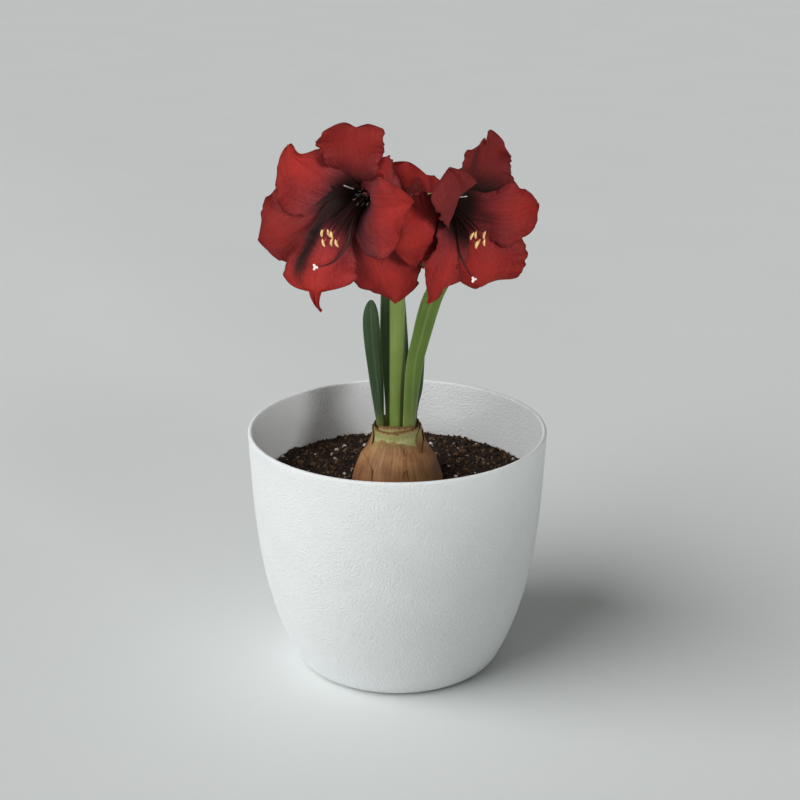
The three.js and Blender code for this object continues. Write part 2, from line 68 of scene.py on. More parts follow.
def new_object(name, data):
    """A new object in the scene, at the origin."""
    made = bpy.data.objects.new(name, data)
    bpy.context.scene.collection.objects.link(made)
    return made


camera = new_object("camera", bpy.data.cameras.new("camera"))
camera.location = Vector(CAMERA_PLACE) * MM
camera.rotation_euler = (math.radians(90 - CAMERA_DIP), 0, 0)
camera.data.sensor_width = CAMERA_SENSOR
camera.data.lens = CAMERA_LENS
bpy.context.scene.camera = camera
print("camera at", tuple(round(x, 3) for x in camera.location))

# %% [markdown]
# ## Light
# The petals look like velvet, and the pot looks round, only when most of the light comes from one
# side. A soft sun stands at the left front, as high as a window would be, and a pale sky does the
# rest. A weak spot from the right front keeps the hollows of the dark blooms from closing up, and
# one from behind does the same for their backs.
# The plain "Standard" view keeps the deep reds as saturated as their materials say.

# %% Set the sun and the sky
SUN = {"bearing": -64, "height": 38, "power": 2.56, "softness": 60}  # degrees, and watts a square metre
SUN_TONE = (0.99, 0.995, 1.0)
SKY_TONE = (0.95, 0.95, 0.92, 1.0)
SKY_STRENGTH = 0.16
FILL = {"aim": (10, -60, 490), "cone": 20, "soft_edge": 0.5, "radius": 250}  # the cone in degrees
FILLS = {"front_fill": ((700, -1100, 720), 76), "back_fill": ((-300, 1250, 440), 44)}  # place and watts

sun = new_object("soft_sun", bpy.data.lights.new("soft_sun", "SUN"))
sun.rotation_euler = (math.radians(90 - SUN["height"]), 0, math.radians(SUN["bearing"]))
sun.data.energy = SUN["power"]
sun.data.angle = math.radians(SUN["softness"])
sun.data.color = SUN_TONE

sky = bpy.data.worlds.new("pale_sky")
sky.use_nodes = True
sky.node_tree.nodes["Background"].inputs["Color"].default_value = SKY_TONE
sky.node_tree.nodes["Background"].inputs["Strength"].default_value = SKY_STRENGTH
bpy.context.scene.world = sky
bpy.context.scene.view_settings.view_transform = "Standard"

for fill_name, (fill_place, fill_power) in FILLS.items():
    fill = new_object(fill_name, bpy.data.lights.new(fill_name, "SPOT"))
    fill.location = Vector(fill_place) * MM
    fill.rotation_euler = (Vector(FILL["aim"]) - Vector(fill_place)).to_track_quat("-Z", "Y").to_euler()
    fill.data.energy = fill_power
    fill.data.spot_size = math.radians(FILL["cone"])
    fill.data.spot_blend = FILL["soft_edge"]
    fill.data.shadow_soft_size = FILL["radius"] * MM
print("a sun from", SUN["bearing"], "degrees, a sky, and", len(FILLS), "fills")

# %% [markdown]
# ## Small helpers for node trees
# Shader trees and Geometry Nodes trees are wired the same way: make a node, feed each input with
# either another node's output or a number. One helper does both, and the rest build on it.

# %% Helpers that wire nodes
def feed(tree, socket, value):
    """Links an output to the socket, or sets the socket's own number or colour."""
    if isinstance(value, bpy.types.NodeSocket):
        tree.links.new(value, socket)
    elif value is not None:
        socket.default_value = value


def add(tree, kind, inputs=None, **settings):
    """A new node with its settings made and its inputs fed by name or by number."""
    made = tree.nodes.new(kind)
    for key, value in settings.items():
        setattr(made, key, value)
    for key, value in (inputs or {}).items():
        feed(tree, made.inputs[key], value)
    return made


def maths(tree, operation, *values):
    """The output of one Math node."""
    return add(tree, "ShaderNodeMath", dict(enumerate(values)), operation=operation).outputs[0]


def tone(red, green, blue):
    """A colour as a screen shows it, 0 to 255, made linear for a shader by the sRGB curve."""
    share = [c / 255 for c in (red, green, blue)]
    return (*[c / 12.92 if c < 0.04045 else ((c + 0.055) / 1.055) ** 2.4 for c in share], 1.0)


print("mid grey is", round(tone(128, 128, 128)[0], 3), "in linear light")

# %% Helpers for materials
COLOUR_A, COLOUR_B, COLOUR_OUT = 6, 7, 2  # a Mix node's sockets for colours


def new_material(name, roughness, **constants):
    """A material, its tree and its Principled shader, whose plain numbers are set on its own sockets."""
    material = bpy.data.materials.new(name)
    material.use_nodes = True
    shader = material.node_tree.nodes["Principled BSDF"]
    shader.inputs["Roughness"].default_value = roughness
    for key, value in constants.items():
        shader.inputs[key.replace("_", " ")].default_value = value
    return material, material.node_tree, shader


def mix(tree, share, first, second):
    """Two colours mixed by share."""
    made = add(tree, "ShaderNodeMix", {0: share}, data_type="RGBA")
    feed(tree, made.inputs[COLOUR_A], first)
    feed(tree, made.inputs[COLOUR_B], second)
    return made.outputs[COLOUR_OUT]


def wash(tree, base, colour, pattern, strength):
    """The base with a colour laid over it where the pattern is bright, as strongly as strength says."""
    return mix(tree, maths(tree, "MULTIPLY", pattern, strength), base, colour)


def ramp(tree, share, *stops):
    """A colour ramp through (place, colour) stops."""
    made = add(tree, "ShaderNodeValToRGB", {0: share})
    elements = made.color_ramp.elements
    while len(elements) < len(stops):
        elements.new(0.5)
    for element, (place, colour) in zip(elements, stops):
        element.position = place
        element.color = colour
    return made.outputs["Color"]


def between(tree, value, low, high):
    """0 at low, 1 at high and smooth between them; it falls where low is the larger number."""
    made = add(tree, "ShaderNodeMapRange", {0: value, 1: low, 2: high}, interpolation_type="SMOOTHSTEP")
    return made.outputs["Result"]


def noise(tree, vector, scale, detail, roughness=0.5):
    """The grey output of a noise pattern; scale is how many of its swells fit in one unit, a metre."""
    inputs = {"Vector": vector, "Scale": scale, "Detail": detail, "Roughness": roughness}
    return add(tree, "ShaderNodeTexNoise", inputs).outputs[0]


def stretched(tree, vector, scale):
    """The vector with each of its directions scaled on its own."""
    return add(tree, "ShaderNodeMapping", {"Vector": vector, "Scale": scale}).outputs[0]


def object_place(tree):
    """Where a point lies in the plant's own frame, in metres."""
    return add(tree, "ShaderNodeTexCoord").outputs["Object"]


def bumps(tree, height, distance, strength, below=None):
    """Bumps of a height pattern; distance is how high they stand, in millimetres."""
    inputs = {"Height": height, "Distance": distance * MM, "Strength": strength, "Normal": below}
    return add(tree, "ShaderNodeBump", inputs).outputs["Normal"]


def paint(tree, shader, colour, relief=None):
    """Gives the shader its colour and, where there is one, its relief."""
    feed(tree, shader.inputs["Base Color"], colour)
    feed(tree, shader.inputs["Normal"], relief)


print("material helpers are ready")

# %% [markdown]
# ## Small helpers for Geometry Nodes
# What repeats, or follows a path or a rule, is grown by a Geometry Nodes tree. Each tree has named
# inputs for its sizes. A piece is grown once, turned into a plain mesh and freed of its modifier.

# %% Helpers that build and run a tree
SOCKETS = {float: "NodeSocketFloat", int: "NodeSocketInt"}


def new_tree(name, **sizes):
    """A Geometry Nodes tree with a named input for each size and one for its material."""
    tree = bpy.data.node_groups.new(name, "GeometryNodeTree")
    tree.interface.new_socket("Geometry", in_out="INPUT", socket_type="NodeSocketGeometry")
    for label, value in sizes.items():
        socket = tree.interface.new_socket(label, in_out="INPUT", socket_type=SOCKETS[type(value)])
        socket.default_value = value
    tree.interface.new_socket("material", in_out="INPUT", socket_type="NodeSocketMaterial")
    tree.interface.new_socket("Geometry", in_out="OUTPUT", socket_type="NodeSocketGeometry")
    return tree, tree.nodes.new("NodeGroupInput").outputs


def finish_tree(tree, geometry, material, smooth=True):
    """Ends a tree in Realize Instances, its shading and Set Material."""
    real = add(tree, "GeometryNodeRealizeInstances", {0: geometry}).outputs[0]
    shaded = add(tree, "GeometryNodeSetShadeSmooth", {"Geometry": real, "Shade Smooth": smooth})
    painted = add(tree, "GeometryNodeSetMaterial", {"Geometry": shaded.outputs[0], "Material": material})
    feed(tree, tree.nodes.new("NodeGroupOutput").inputs[0], painted.outputs[0])


def grow(name, seed_mesh, tree, **values):
    """Runs the tree on the mesh and gives its result as a plain object with no modifier."""
    holder = new_object(name + "_seed", seed_mesh)
    modifier = holder.modifiers.new(tree.name, "NODES")
    modifier.node_group = tree
    for item in tree.interface.items_tree:
        if item.in_out == "INPUT" and item.name in values:
            modifier[item.identifier] = values[item.name]
    bpy.context.view_layer.update()
    evaluated = holder.evaluated_get(bpy.context.evaluated_depsgraph_get())
    mesh = bpy.data.meshes.new_from_object(evaluated)
    bpy.data.objects.remove(holder)
    return new_object(name, mesh)


print("tree helpers are ready")

# %% Helpers for plain meshes
def plain_mesh(name, points, faces=(), edges=()):
    """A mesh from points in millimetres."""
    mesh = bpy.data.meshes.new(name)
    mesh.from_pydata([tuple(float(x) * MM for x in p) for p in points], list(edges), list(faces))
    return mesh


def store(mesh, name, values):
    """One number for each point, kept with the mesh for its material or tree."""
    mesh.attributes.new(name, "FLOAT", "POINT").data.foreach_set("value", np.asarray(values, np.float32))


DOUBLES = 0.01  # millimetres; points closer than this are one


def face_out(obj):
    """Merges doubles and turns every face outwards."""
    shape = bmesh.new()
    shape.from_mesh(obj.data)
    bmesh.ops.remove_doubles(shape, verts=shape.verts, dist=DOUBLES * MM)
    bmesh.ops.recalc_face_normals(shape, faces=shape.faces)
    shape.to_mesh(obj.data)
    shape.free()


def settle(obj, slot, *nodes):
    """Puts a finished piece on the part's one body, in place of its plain solids."""
    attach(obj, BODY)
    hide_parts(*nodes)
    triangles = sum(len(p.vertices) - 2 for p in obj.data.polygons)
    print(obj.name, "stands for", ", ".join(nodes), "with", triangles, "triangles")


def joined(name, parts):
    """Several finished meshes made one object, with their materials kept."""
    with bpy.context.temp_override(active_object=parts[0], selected_editable_objects=parts):
        bpy.ops.object.join()
    parts[0].name = name
    return parts[0]


def ease(low, high, x):
    """What between does, for numbers: 0 up to low, 1 from high, and a smooth rise between."""
    u = np.clip((x - low) / (high - low), 0, 1)
    return u * u * (3 - 2 * u)


print("mesh helpers are ready")

# %% [markdown]
# ## Turning on the wheel
# The pot, the soil and the bulb are round. Each could be spun with a Screw modifier, but a small
# Geometry Nodes tree shows the rule itself: a flat grid is bent into rings, ring after ring taking
# its radius and height from the next point of a profile line.

# %% A tree that turns a profile
def turning_tree():
    """Each grid point finds its ring and its step round it from its index, then its profile point."""
    tree, given = new_tree("turned_piece", sides=96)
    profile = given["Geometry"]
    rings = add(tree, "GeometryNodeAttributeDomainSize", {"Geometry": profile}).outputs["Point Count"]
    columns = maths(tree, "ADD", given["sides"], 1)
    grid = add(tree, "GeometryNodeMeshGrid", {"Vertices X": rings, "Vertices Y": columns}).outputs["Mesh"]
    index = add(tree, "GeometryNodeInputIndex").outputs[0]
    ring = maths(tree, "FLOOR", maths(tree, "DIVIDE", maths(tree, "ADD", index, 0.5), columns))
    step = maths(tree, "SUBTRACT", index, maths(tree, "MULTIPLY", ring, columns))
    angle = maths(tree, "MULTIPLY", maths(tree, "DIVIDE", step, given["sides"]), 2 * math.pi)
    place = add(tree, "GeometryNodeInputPosition").outputs[0]
    sample = add(tree, "GeometryNodeSampleIndex", {"Geometry": profile, "Index": ring},
                 data_type="FLOAT_VECTOR")
    feed(tree, next(s for s in sample.inputs if s.name == "Value" and s.type == "VECTOR"), place)
    found = next(s for s in sample.outputs if s.type == "VECTOR")
    split = add(tree, "ShaderNodeSeparateXYZ", {0: found}).outputs
    x = maths(tree, "MULTIPLY", split["X"], maths(tree, "COSINE", angle))
    y = maths(tree, "MULTIPLY", split["X"], maths(tree, "SINE", angle))
    turned = add(tree, "ShaderNodeCombineXYZ", {0: x, 1: y, 2: split["Z"]}).outputs[0]
    moved = add(tree, "GeometryNodeSetPosition", {"Geometry": grid, "Position": turned}).outputs[0]
    sewn = add(tree, "GeometryNodeMergeByDistance", {"Geometry": moved, "Distance": DOUBLES * MM})
    finish_tree(tree, sewn.outputs[0], given["material"])
    return tree


TURNING = turning_tree()


def turned(name, profile, sides, material):
    """A closed round piece from (radius, height) points that start and end on the axis."""
    line = plain_mesh(name + "_profile", [(r, 0, z) for r, z in profile])
    made = grow(name, line, TURNING, sides=sides, material=material)
    face_out(made)
    return made


print("the wheel has", len(TURNING.nodes), "nodes")

# %% [markdown]
# ## Pot
# A plain planter of matte moulded plastic, white with a cool cast. Its wall draws in faster and
# faster towards the foot, which one power curve gives. The lip is the wall's own thickness, rounded.
# The plain solid has flat sides, so a finer one is turned in its place, from the frame's own sizes.

# %% Profile of the pot
POT_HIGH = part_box("pot")[1] / MM
POT = {"rim": POT_HIGH.x, "height": POT_HIGH.z, "foot": 92.5, "flare": 9.5, "belly": 3.4,
       "wall": 4, "floor": 6, "foot_round": 11}
POT_STEPS = {"foot": 10, "outside": 44, "lip": 13, "inside": 42, "corner": 8, "round": 192}


def pot_radius(z):
    """Outer radius at a height: a straight taper, and a power curve that draws the foot in."""
    drop = 1 - z / POT["height"]
    drawn_in = POT["rim"] - POT["flare"] - POT["foot"]
    return POT["rim"] - POT["flare"] * drop - drawn_in * drop ** POT["belly"]


def inner_radius(z):
    return pot_radius(z) - POT["wall"]


def bend_through(start, corner, end, steps):
    """Points along a curve that leaves start towards corner and reaches end from it."""
    share = np.linspace(0, 1, steps)[:, None]
    start, corner, end = map(np.array, (start, corner, end))
    return (1 - share) ** 2 * start + 2 * share * (1 - share) * corner + share ** 2 * end


def pot_profile():
    """From the middle of the underside round the foot, up, over the lip and down to the floor."""
    lip = POT["wall"] / 2
    round_top = POT["floor"] + POT["foot_round"]
    heights = np.linspace(POT["foot_round"], POT["height"] - lip, POT_STEPS["outside"])[1:-1]
    inner_heights = np.linspace(POT["height"] - lip, round_top, POT_STEPS["inside"])[1:-1]
    turn = np.linspace(0, math.pi, POT_STEPS["lip"])
    return np.vstack([
        [(0, 0), (POT["foot"] / 2, 0)],
        bend_through((POT["foot"] - POT["foot_round"], 0), (POT["foot"], 0),
                     (pot_radius(POT["foot_round"]), POT["foot_round"]), POT_STEPS["foot"]),
        np.c_[pot_radius(heights), heights],
        np.c_[POT["rim"] - lip + lip * np.cos(turn), POT["height"] - lip + lip * np.sin(turn)],
        np.c_[inner_radius(inner_heights), inner_heights],
        bend_through((inner_radius(round_top), round_top), (inner_radius(POT["floor"]), POT["floor"]),
                     (inner_radius(POT["floor"]) - POT["foot_round"], POT["floor"]), POT_STEPS["corner"]),
        [(0, POT["floor"])],
    ])


print("the pot is", round(2 * POT["rim"]), "mm across and", round(POT["height"]), "mm high")

# %% [markdown]
# The mould gives the plastic a fine leathery grain, with about one and a half millimetres from
# dimple to dimple. A Voronoi pattern gives the dimples their edges, and a noise makes some shallower.
# The colour barely changes: a faint, wide mottling, as in any filled plastic.

# %% Finish of the pot
def matte_plastic():
    material, tree, shader = new_material("matte_white_plastic", 0.6, Specular_IOR_Level=0.3)
    place = object_place(tree)
    cells = add(tree, "ShaderNodeTexVoronoi", {"Vector": place, "Scale": 620.0}, feature="SMOOTH_F1")
    depth = noise(tree, place, 240.0, 2.0)
    grain = maths(tree, "MULTIPLY", cells.outputs["Distance"], maths(tree, "ADD", depth, 0.3))
    mottle = between(tree, noise(tree, place, 30.0, 4.0), 0.3, 0.7)
    colour = mix(tree, mottle, tone(231, 234, 234), tone(234, 237, 237))
    paint(tree, shader, colour, bumps(tree, grain, 0.75, 1.0))
    return material


pot = turned("planter", pot_profile(), POT_STEPS["round"], matte_plastic())
settle(pot, "pot", "pot")

# %% [markdown]
# ## Soil
# Potting soil is dark peat with crumbs, bark and a few white grains of perlite. The body is turned
# like the pot. On its top the tree below raises low mounds, then scatters thousands of crumbs, each
# a twenty-sided lump with its own size, turn and shade. A fixed seed keeps them where they are.

# %% Body of the soil
GAP = 0.35  # millimetres that keep neighbours apart
SOIL = {"edge": 171, "crown": 176, "wall_gap": 3 * GAP, "bend": 150, "bend_in": 4, "top_from": 168}
SOIL_STEPS = {"side": 12, "top": 46, "round": 128}
BULB = {"base": 127, "plate": 13, "girth": 42, "girth_height": 168, "neck": 21, "neck_top": 228}


def soil_profile():
    """Up the pot's wall, over the gently crowned top and down a socket that holds the bulb."""
    top = np.linspace(0, 1, SOIL_STEPS["top"])
    top_heights = SOIL["edge"] + (SOIL["crown"] - SOIL["edge"]) * ease(0, 1, top)
    edge = inner_radius(SOIL["edge"]) - SOIL["wall_gap"]
    side = np.linspace(POT["floor"] + POT["foot_round"], SOIL["edge"], SOIL_STEPS["side"])
    shoulder = BULB["girth"] + GAP
    return np.vstack([
        [(0, POT["floor"] + GAP), (inner_radius(POT["floor"]) - POT["foot_round"], POT["floor"] + GAP)],
        np.c_[inner_radius(side) - SOIL["wall_gap"], side],
        np.c_[edge + (shoulder - edge) * top, top_heights],
        [(shoulder - SOIL["bend_in"], SOIL["bend"]), (BULB["plate"], BULB["base"] - GAP),
         (0, BULB["base"] - GAP)],
    ])


print("the soil stands", SOIL["crown"], "mm high at the bulb")

# %% A tree that crumbles the top
HALF_UPRIGHT = 0.5  # a face whose normal points up more than this belongs to the top
TURN = 6.3  # radians, all the way round


def crumb_tree():
    """Sizes are in metres and crumbs in a square metre; most crumbs are small and a few are large."""
    tree, given = new_tree("crumbly_soil", mound=0.0012, crumbs=115000.0, crumb=0.00125, seed=7)
    place = add(tree, "GeometryNodeInputPosition").outputs[0]
    upright = add(tree, "ShaderNodeSeparateXYZ", {0: add(tree, "GeometryNodeInputNormal").outputs[0]})
    height = add(tree, "ShaderNodeSeparateXYZ", {0: place}).outputs["Z"]
    is_top = maths(tree, "MULTIPLY", maths(tree, "GREATER_THAN", upright.outputs["Z"], HALF_UPRIGHT),
                   maths(tree, "GREATER_THAN", height, SOIL["top_from"] * MM))
    swell = maths(tree, "SUBTRACT", noise(tree, place, 70.0, 4.0), 0.5)
    rise = maths(tree, "MULTIPLY", swell, maths(tree, "MULTIPLY", given["mound"], 4))
    lift = add(tree, "ShaderNodeCombineXYZ", {2: rise}).outputs[0]
    ground = add(tree, "GeometryNodeSetPosition",
                 {"Geometry": given["Geometry"], "Selection": is_top, "Offset": lift}).outputs[0]
    spots = add(tree, "GeometryNodeDistributePointsOnFaces",
                {"Mesh": ground, "Selection": is_top, "Density": given["crumbs"], "Seed": given["seed"]})
    drawn = add(tree, "FunctionNodeRandomValue", {2: 0.0, 3: 1.0, "Seed": 3}).outputs[1]
    size = maths(tree, "MULTIPLY", given["crumb"],
                 maths(tree, "ADD", 0.45, maths(tree, "MULTIPLY", 2.0, maths(tree, "POWER", drawn, 3))))
    uneven = add(tree, "FunctionNodeRandomValue", {0: (0.6, 0.6, 0.45), 1: (1.6, 1.1, 0.9), "Seed": 5},
                 data_type="FLOAT_VECTOR").outputs[0]
    turn = add(tree, "FunctionNodeRandomValue", {0: (0, 0, 0), 1: (TURN, TURN, TURN), "Seed": 9},
               data_type="FLOAT_VECTOR").outputs[0]
    scale = add(tree, "ShaderNodeVectorMath", {0: uneven, 1: size}, operation="MULTIPLY").outputs[0]
    lump = add(tree, "GeometryNodeMeshIcoSphere", {"Radius": 1.0, "Subdivisions": 1}).outputs[0]
    laid = add(tree, "GeometryNodeInstanceOnPoints",
               {"Points": spots.outputs["Points"], "Instance": lump, "Rotation": turn, "Scale": scale})
    shade = add(tree, "FunctionNodeRandomValue", {2: 0.0, 3: 1.0, "Seed": 11}).outputs[1]
    marked = add(tree, "GeometryNodeStoreNamedAttribute",
                 {"Geometry": laid.outputs[0], "Name": "shade", "Value": shade}, domain="INSTANCE")
    both = add(tree, "GeometryNodeJoinGeometry")
    feed(tree, both.inputs[0], ground)
    feed(tree, both.inputs[0], marked.outputs[0])
    finish_tree(tree, both.outputs[0], given["material"], smooth=False)
    return tree


CRUMBLING = crumb_tree()
print("the soil tree has", len(CRUMBLING.nodes), "nodes")

# %% Finish of the soil
def peat():
    material, tree, shader = new_material("potting_soil", 0.95, Specular_IOR_Level=0.2)
    place = object_place(tree)
    shade = add(tree, "ShaderNodeAttribute", attribute_name="shade").outputs["Fac"]
    damp = noise(tree, place, 55.0, 5.0)
    share = maths(tree, "ADD", shade, maths(tree, "MULTIPLY", maths(tree, "SUBTRACT", damp, 0.5), 0.4))
    colour = ramp(tree, share, (0.0, tone(38, 28, 22)), (0.45, tone(62, 46, 35)), (0.8, tone(92, 70, 51)),
                  (0.945, tone(118, 92, 66)), (0.965, tone(206, 202, 192)))
    fibres = noise(tree, stretched(tree, place, (900.0, 900.0, 2600.0)), 1.0, 4.0)
    paint(tree, shader, colour, bumps(tree, fibres, 0.3, 0.6))
    return material


soil_body = turned("soil_body", soil_profile(), SOIL_STEPS["round"], None)
soil = grow("soil_crumbs", soil_body.data, CRUMBLING, material=peat())
bpy.data.objects.remove(soil_body)
settle(soil, "soil", "soil")

# %% [markdown]
# ## Sheets with two faces
# Tepals, leaves, bracts and the bulb's papery scales are all thin sheets. Each is described as a grid
# of points, with rows running along it and columns across it. One helper gives a grid its thickness
# and keeps, for every point, how far along and across the sheet it lies. The materials read that.

# %% Helper that makes a sheet from a grid
def unit(vectors):
    """The vectors at length 1."""
    return vectors / np.maximum(np.linalg.norm(vectors, axis=-1, keepdims=True), 1e-12)


def facing(grid):
    """The direction in which a grid faces at each of its points."""
    return unit(np.cross(np.gradient(grid, axis=1), np.gradient(grid, axis=0)))


def sheet(grid, thickness):
    """Points, faces and marks of a sheet; thickness is one number or one for each grid point."""
    rows, columns = grid.shape[:2]
    normal = facing(grid)
    half = normal * (np.broadcast_to(thickness, (rows, columns))[..., None] / 2)
    points = np.concatenate([(grid + half).reshape(-1, 3), (grid - half).reshape(-1, 3)])
    count = rows * columns
    index = np.arange(count).reshape(rows, columns)
    a, b, c, d = (part.ravel() for part in (index[:-1, :-1], index[:-1, 1:], index[1:, 1:], index[1:, :-1]))
    border = np.r_[index[0, :-1], index[:-1, -1], index[-1, :0:-1], index[:0:-1, 0]]
    ahead = np.roll(border, -1)
    faces = np.vstack([np.c_[a, b, c, d], np.c_[a, d, c, b] + count,
                       np.c_[border, border + count, ahead + count, ahead]])
    along, across = np.meshgrid(np.linspace(0, 1, rows), np.linspace(0, 1, columns), indexing="ij")
    marks = {"along": np.tile(along.ravel(), 2), "across": np.tile(across.ravel(), 2),
             "front": np.repeat([1.0, 0.0], count)}
    return points, faces, marks


def sheets_object(name, made, material):
    """One object from several sheets, with their marks kept and a map of across and along."""
    points = np.vstack([part[0] for part in made])
    starts = np.cumsum([0] + [len(part[0]) for part in made[:-1]])
    faces = [face for part, start in zip(made, starts) for face in (part[1] + start).tolist()]
    mesh = plain_mesh(name, points, faces)
    marks = {key: np.concatenate([part[2][key] for part in made]) for key in made[0][2]}
    for key, values in marks.items():
        store(mesh, key, values)
    corners = np.zeros(len(mesh.loops), np.int32)
    mesh.loops.foreach_get("vertex_index", corners)
    flat = np.c_[marks["across"], marks["along"]][corners].astype(np.float32)
    mesh.uv_layers.new(name="sheet").data.foreach_set("uv", flat.ravel())
    mesh.materials.append(material)
    mesh.shade_smooth()
    return new_object(name, mesh)


def mark(tree, name):
    """One of the numbers kept with the mesh, for a material."""
    return add(tree, "ShaderNodeAttribute", attribute_name=name).outputs["Fac"]


def sheet_place(tree, across_scale, along_scale, shift=None):
    """Coordinates that run across and along a sheet, for patterns that follow its veins."""
    x = maths(tree, "MULTIPLY", mark(tree, "across"), across_scale)
    y = maths(tree, "MULTIPLY", mark(tree, "along"), along_scale)
    return add(tree, "ShaderNodeCombineXYZ", {0: x, 1: y, 2: shift}).outputs[0]


print("sheets are ready")

# %% [markdown]
# ## Bulb
# The bulb is a bundle of fleshy scales. The outer ones dry to brown paper, split along their veins
# and curl at their ragged tops; nearer the neck they are still pale and greenish. A fleshy core is
# turned first, and loose scales are laid round it, each a little further out than the last.

# %% Core of the bulb
def through(points, steps):
    """A smooth line through given points, with equal steps between neighbours."""
    p = np.array(points, float)
    p = np.vstack([2 * p[0] - p[1], p, 2 * p[-1] - p[-2]])
    u = np.linspace(0, 1, steps, endpoint=False)[:, None]
    parts = [0.5 * (2 * b + (c - a) * u + (2 * a - 5 * b + 4 * c - d) * u ** 2
                    + (3 * b - a - 3 * c + d) * u ** 3)
             for a, b, c, d in zip(p, p[1:], p[2:], p[3:])]
    return np.vstack([*parts, p[-2:-1]])


BULB_LINE = through([(BULB["plate"], BULB["base"]), (37, 145), (BULB["girth"], BULB["girth_height"]),
                     (36, 192), (24, 213), (BULB["neck"], BULB["neck_top"])], 12)
CORE = {"top": 219, "inset": 0.7, "neck_inset": 3, "dome": 1, "round": 96}


def bulb_radius(z):
    """Radius of the bulb at a height."""
    return np.interp(z, BULB_LINE[:, 1], BULB_LINE[:, 0])


def bulb_core():
    """The bulb's line a little further in, closed by a low dome between the sleeves of the neck."""
    inside = BULB_LINE[BULB_LINE[:, 1] < CORE["top"]] - (CORE["inset"], 0)
    dome = [(BULB["neck"] - CORE["neck_inset"], CORE["top"]), (0, CORE["top"] + CORE["dome"])]
    return np.vstack([[(0, BULB["base"])], inside, dome])


print("the bulb is", 2 * BULB["girth"], "mm across")

# %% Loose papery scales round the core
SCALE = {"count": 11, "rows": 46, "columns": 40, "thickness": 0.28, "foot": 14, "lowest_top": 196,
         "inset": 0.55, "step_out": 0.07, "turn": 2.4}  # millimetres, and radians from scale to scale
FRESH = (212, 232)  # heights between which the paper turns from dry to fresh


def papery_scale(k, rng):
    """Scale k: a strip of the bulb's surface, with a ragged top and lifted edges."""
    middle = k * SCALE["turn"] + rng.uniform(-0.2, 0.2)
    spread = rng.uniform(0.75, 1.25)
    if k % 3:
        top = rng.uniform(SCALE["lowest_top"], BULB["neck_top"] - 1)
    else:
        top = BULB["neck_top"] + rng.uniform(-1.5, 0)
    across = np.linspace(-1, 1, SCALE["columns"])
    ragged = sum(np.sin(across * f + rng.uniform(0, 6)) / f ** 0.7 for f in (3, 7, 13, 29, 47))
    edge = top - 7 * np.abs(across) ** 3 - 2.6 * np.abs(ragged)
    bottom = BULB["base"] + SCALE["foot"]
    share = np.linspace(0, 1, SCALE["rows"])[:, None]
    height = bottom + (edge - bottom) * share
    wave = 0.5 * np.sin(across * 9 + k) * share + 0.25 * np.sin(across * 31 + 2 * k) * share ** 2
    curl = 1.1 * share ** 14 + 0.9 * np.abs(across) ** 9 * share
    out = bulb_radius(height) - SCALE["inset"] + SCALE["step_out"] * k + wave * 0.55 + curl
    angle = middle + spread * across * (1 - 0.25 * share)
    grid = np.stack([out * np.cos(angle), out * np.sin(angle), height], -1)
    return sheet(grid, SCALE["thickness"])


def dry_paper():
    material, tree, shader = new_material("papery_bulb_scale", 0.6, Specular_IOR_Level=0.4)
    streak = noise(tree, sheet_place(tree, 60.0, 1.6), 1.0, 5.0, 0.65)
    patch = noise(tree, object_place(tree), 38.0, 4.0)
    share = maths(tree, "ADD", maths(tree, "MULTIPLY", streak, 0.6), maths(tree, "MULTIPLY", patch, 0.45))
    brown = ramp(tree, share, (0.3, tone(88, 55, 31)), (0.5, tone(140, 94, 55)), (0.72, tone(186, 140, 92)))
    height = add(tree, "ShaderNodeSeparateXYZ", {0: object_place(tree)}).outputs["Z"]
    uneven = maths(tree, "ADD", height, maths(tree, "MULTIPLY", patch, 0.012))
    green = between(tree, uneven, FRESH[0] * MM, FRESH[1] * MM)
    paint(tree, shader, wash(tree, brown, tone(158, 152, 92), green, 0.6), bumps(tree, streak, 0.5, 0.7))
    return material


def fleshy_core():
    material, tree, shader = new_material("bulb_flesh", 0.5)
    place = object_place(tree)
    rings = noise(tree, stretched(tree, place, (160.0, 160.0, 14.0)), 1.0, 4.0)
    height = add(tree, "ShaderNodeSeparateXYZ", {0: place}).outputs["Z"]
    freshness = between(tree, height, 0.19, 0.226)
    share = maths(tree, "ADD", freshness, maths(tree, "MULTIPLY", rings, 0.25))
    colour = ramp(tree, share, (0.1, tone(112, 74, 43)), (0.7, tone(150, 128, 74)),
                  (1.0, tone(171, 176, 112)))
    paint(tree, shader, colour, bumps(tree, rings, 0.6, 0.6))
    return material


print(SCALE["count"], "papery scales wrap the core")

# %% [markdown]
# In the neck the same scales are still alive: fleshy sleeves, one inside the other, that hold the
# leaves and the scape. Only their rims have dried. Each is a part of a ring that narrows upwards.

# %% Living sleeves in the neck
NECK_FOOT = 212  # the height from which sleeves and leaves are drawn
SLEEVE = {"rows": 26, "columns": 34, "thickness": 0.75, "thinning": 0.45}
SLEEVES = [  # bearing of the middle and spread in radians, radius at the rim, height of the rim
    (-2.3, 0.95, 21.0, 226.4), (-0.95, 0.85, 20.5, 228.2), (0.6, 1.2, 20.7, 227.2), (2.4, 1.3, 20.9, 228.4),
    (-1.6, 1.1, 19.3, 231.2), (1.4, 1.5, 19.2, 230.4), (-2.0, 0.9, 14.2, 228.4), (-1.7, 0.8, 11.4, 226.0),
]


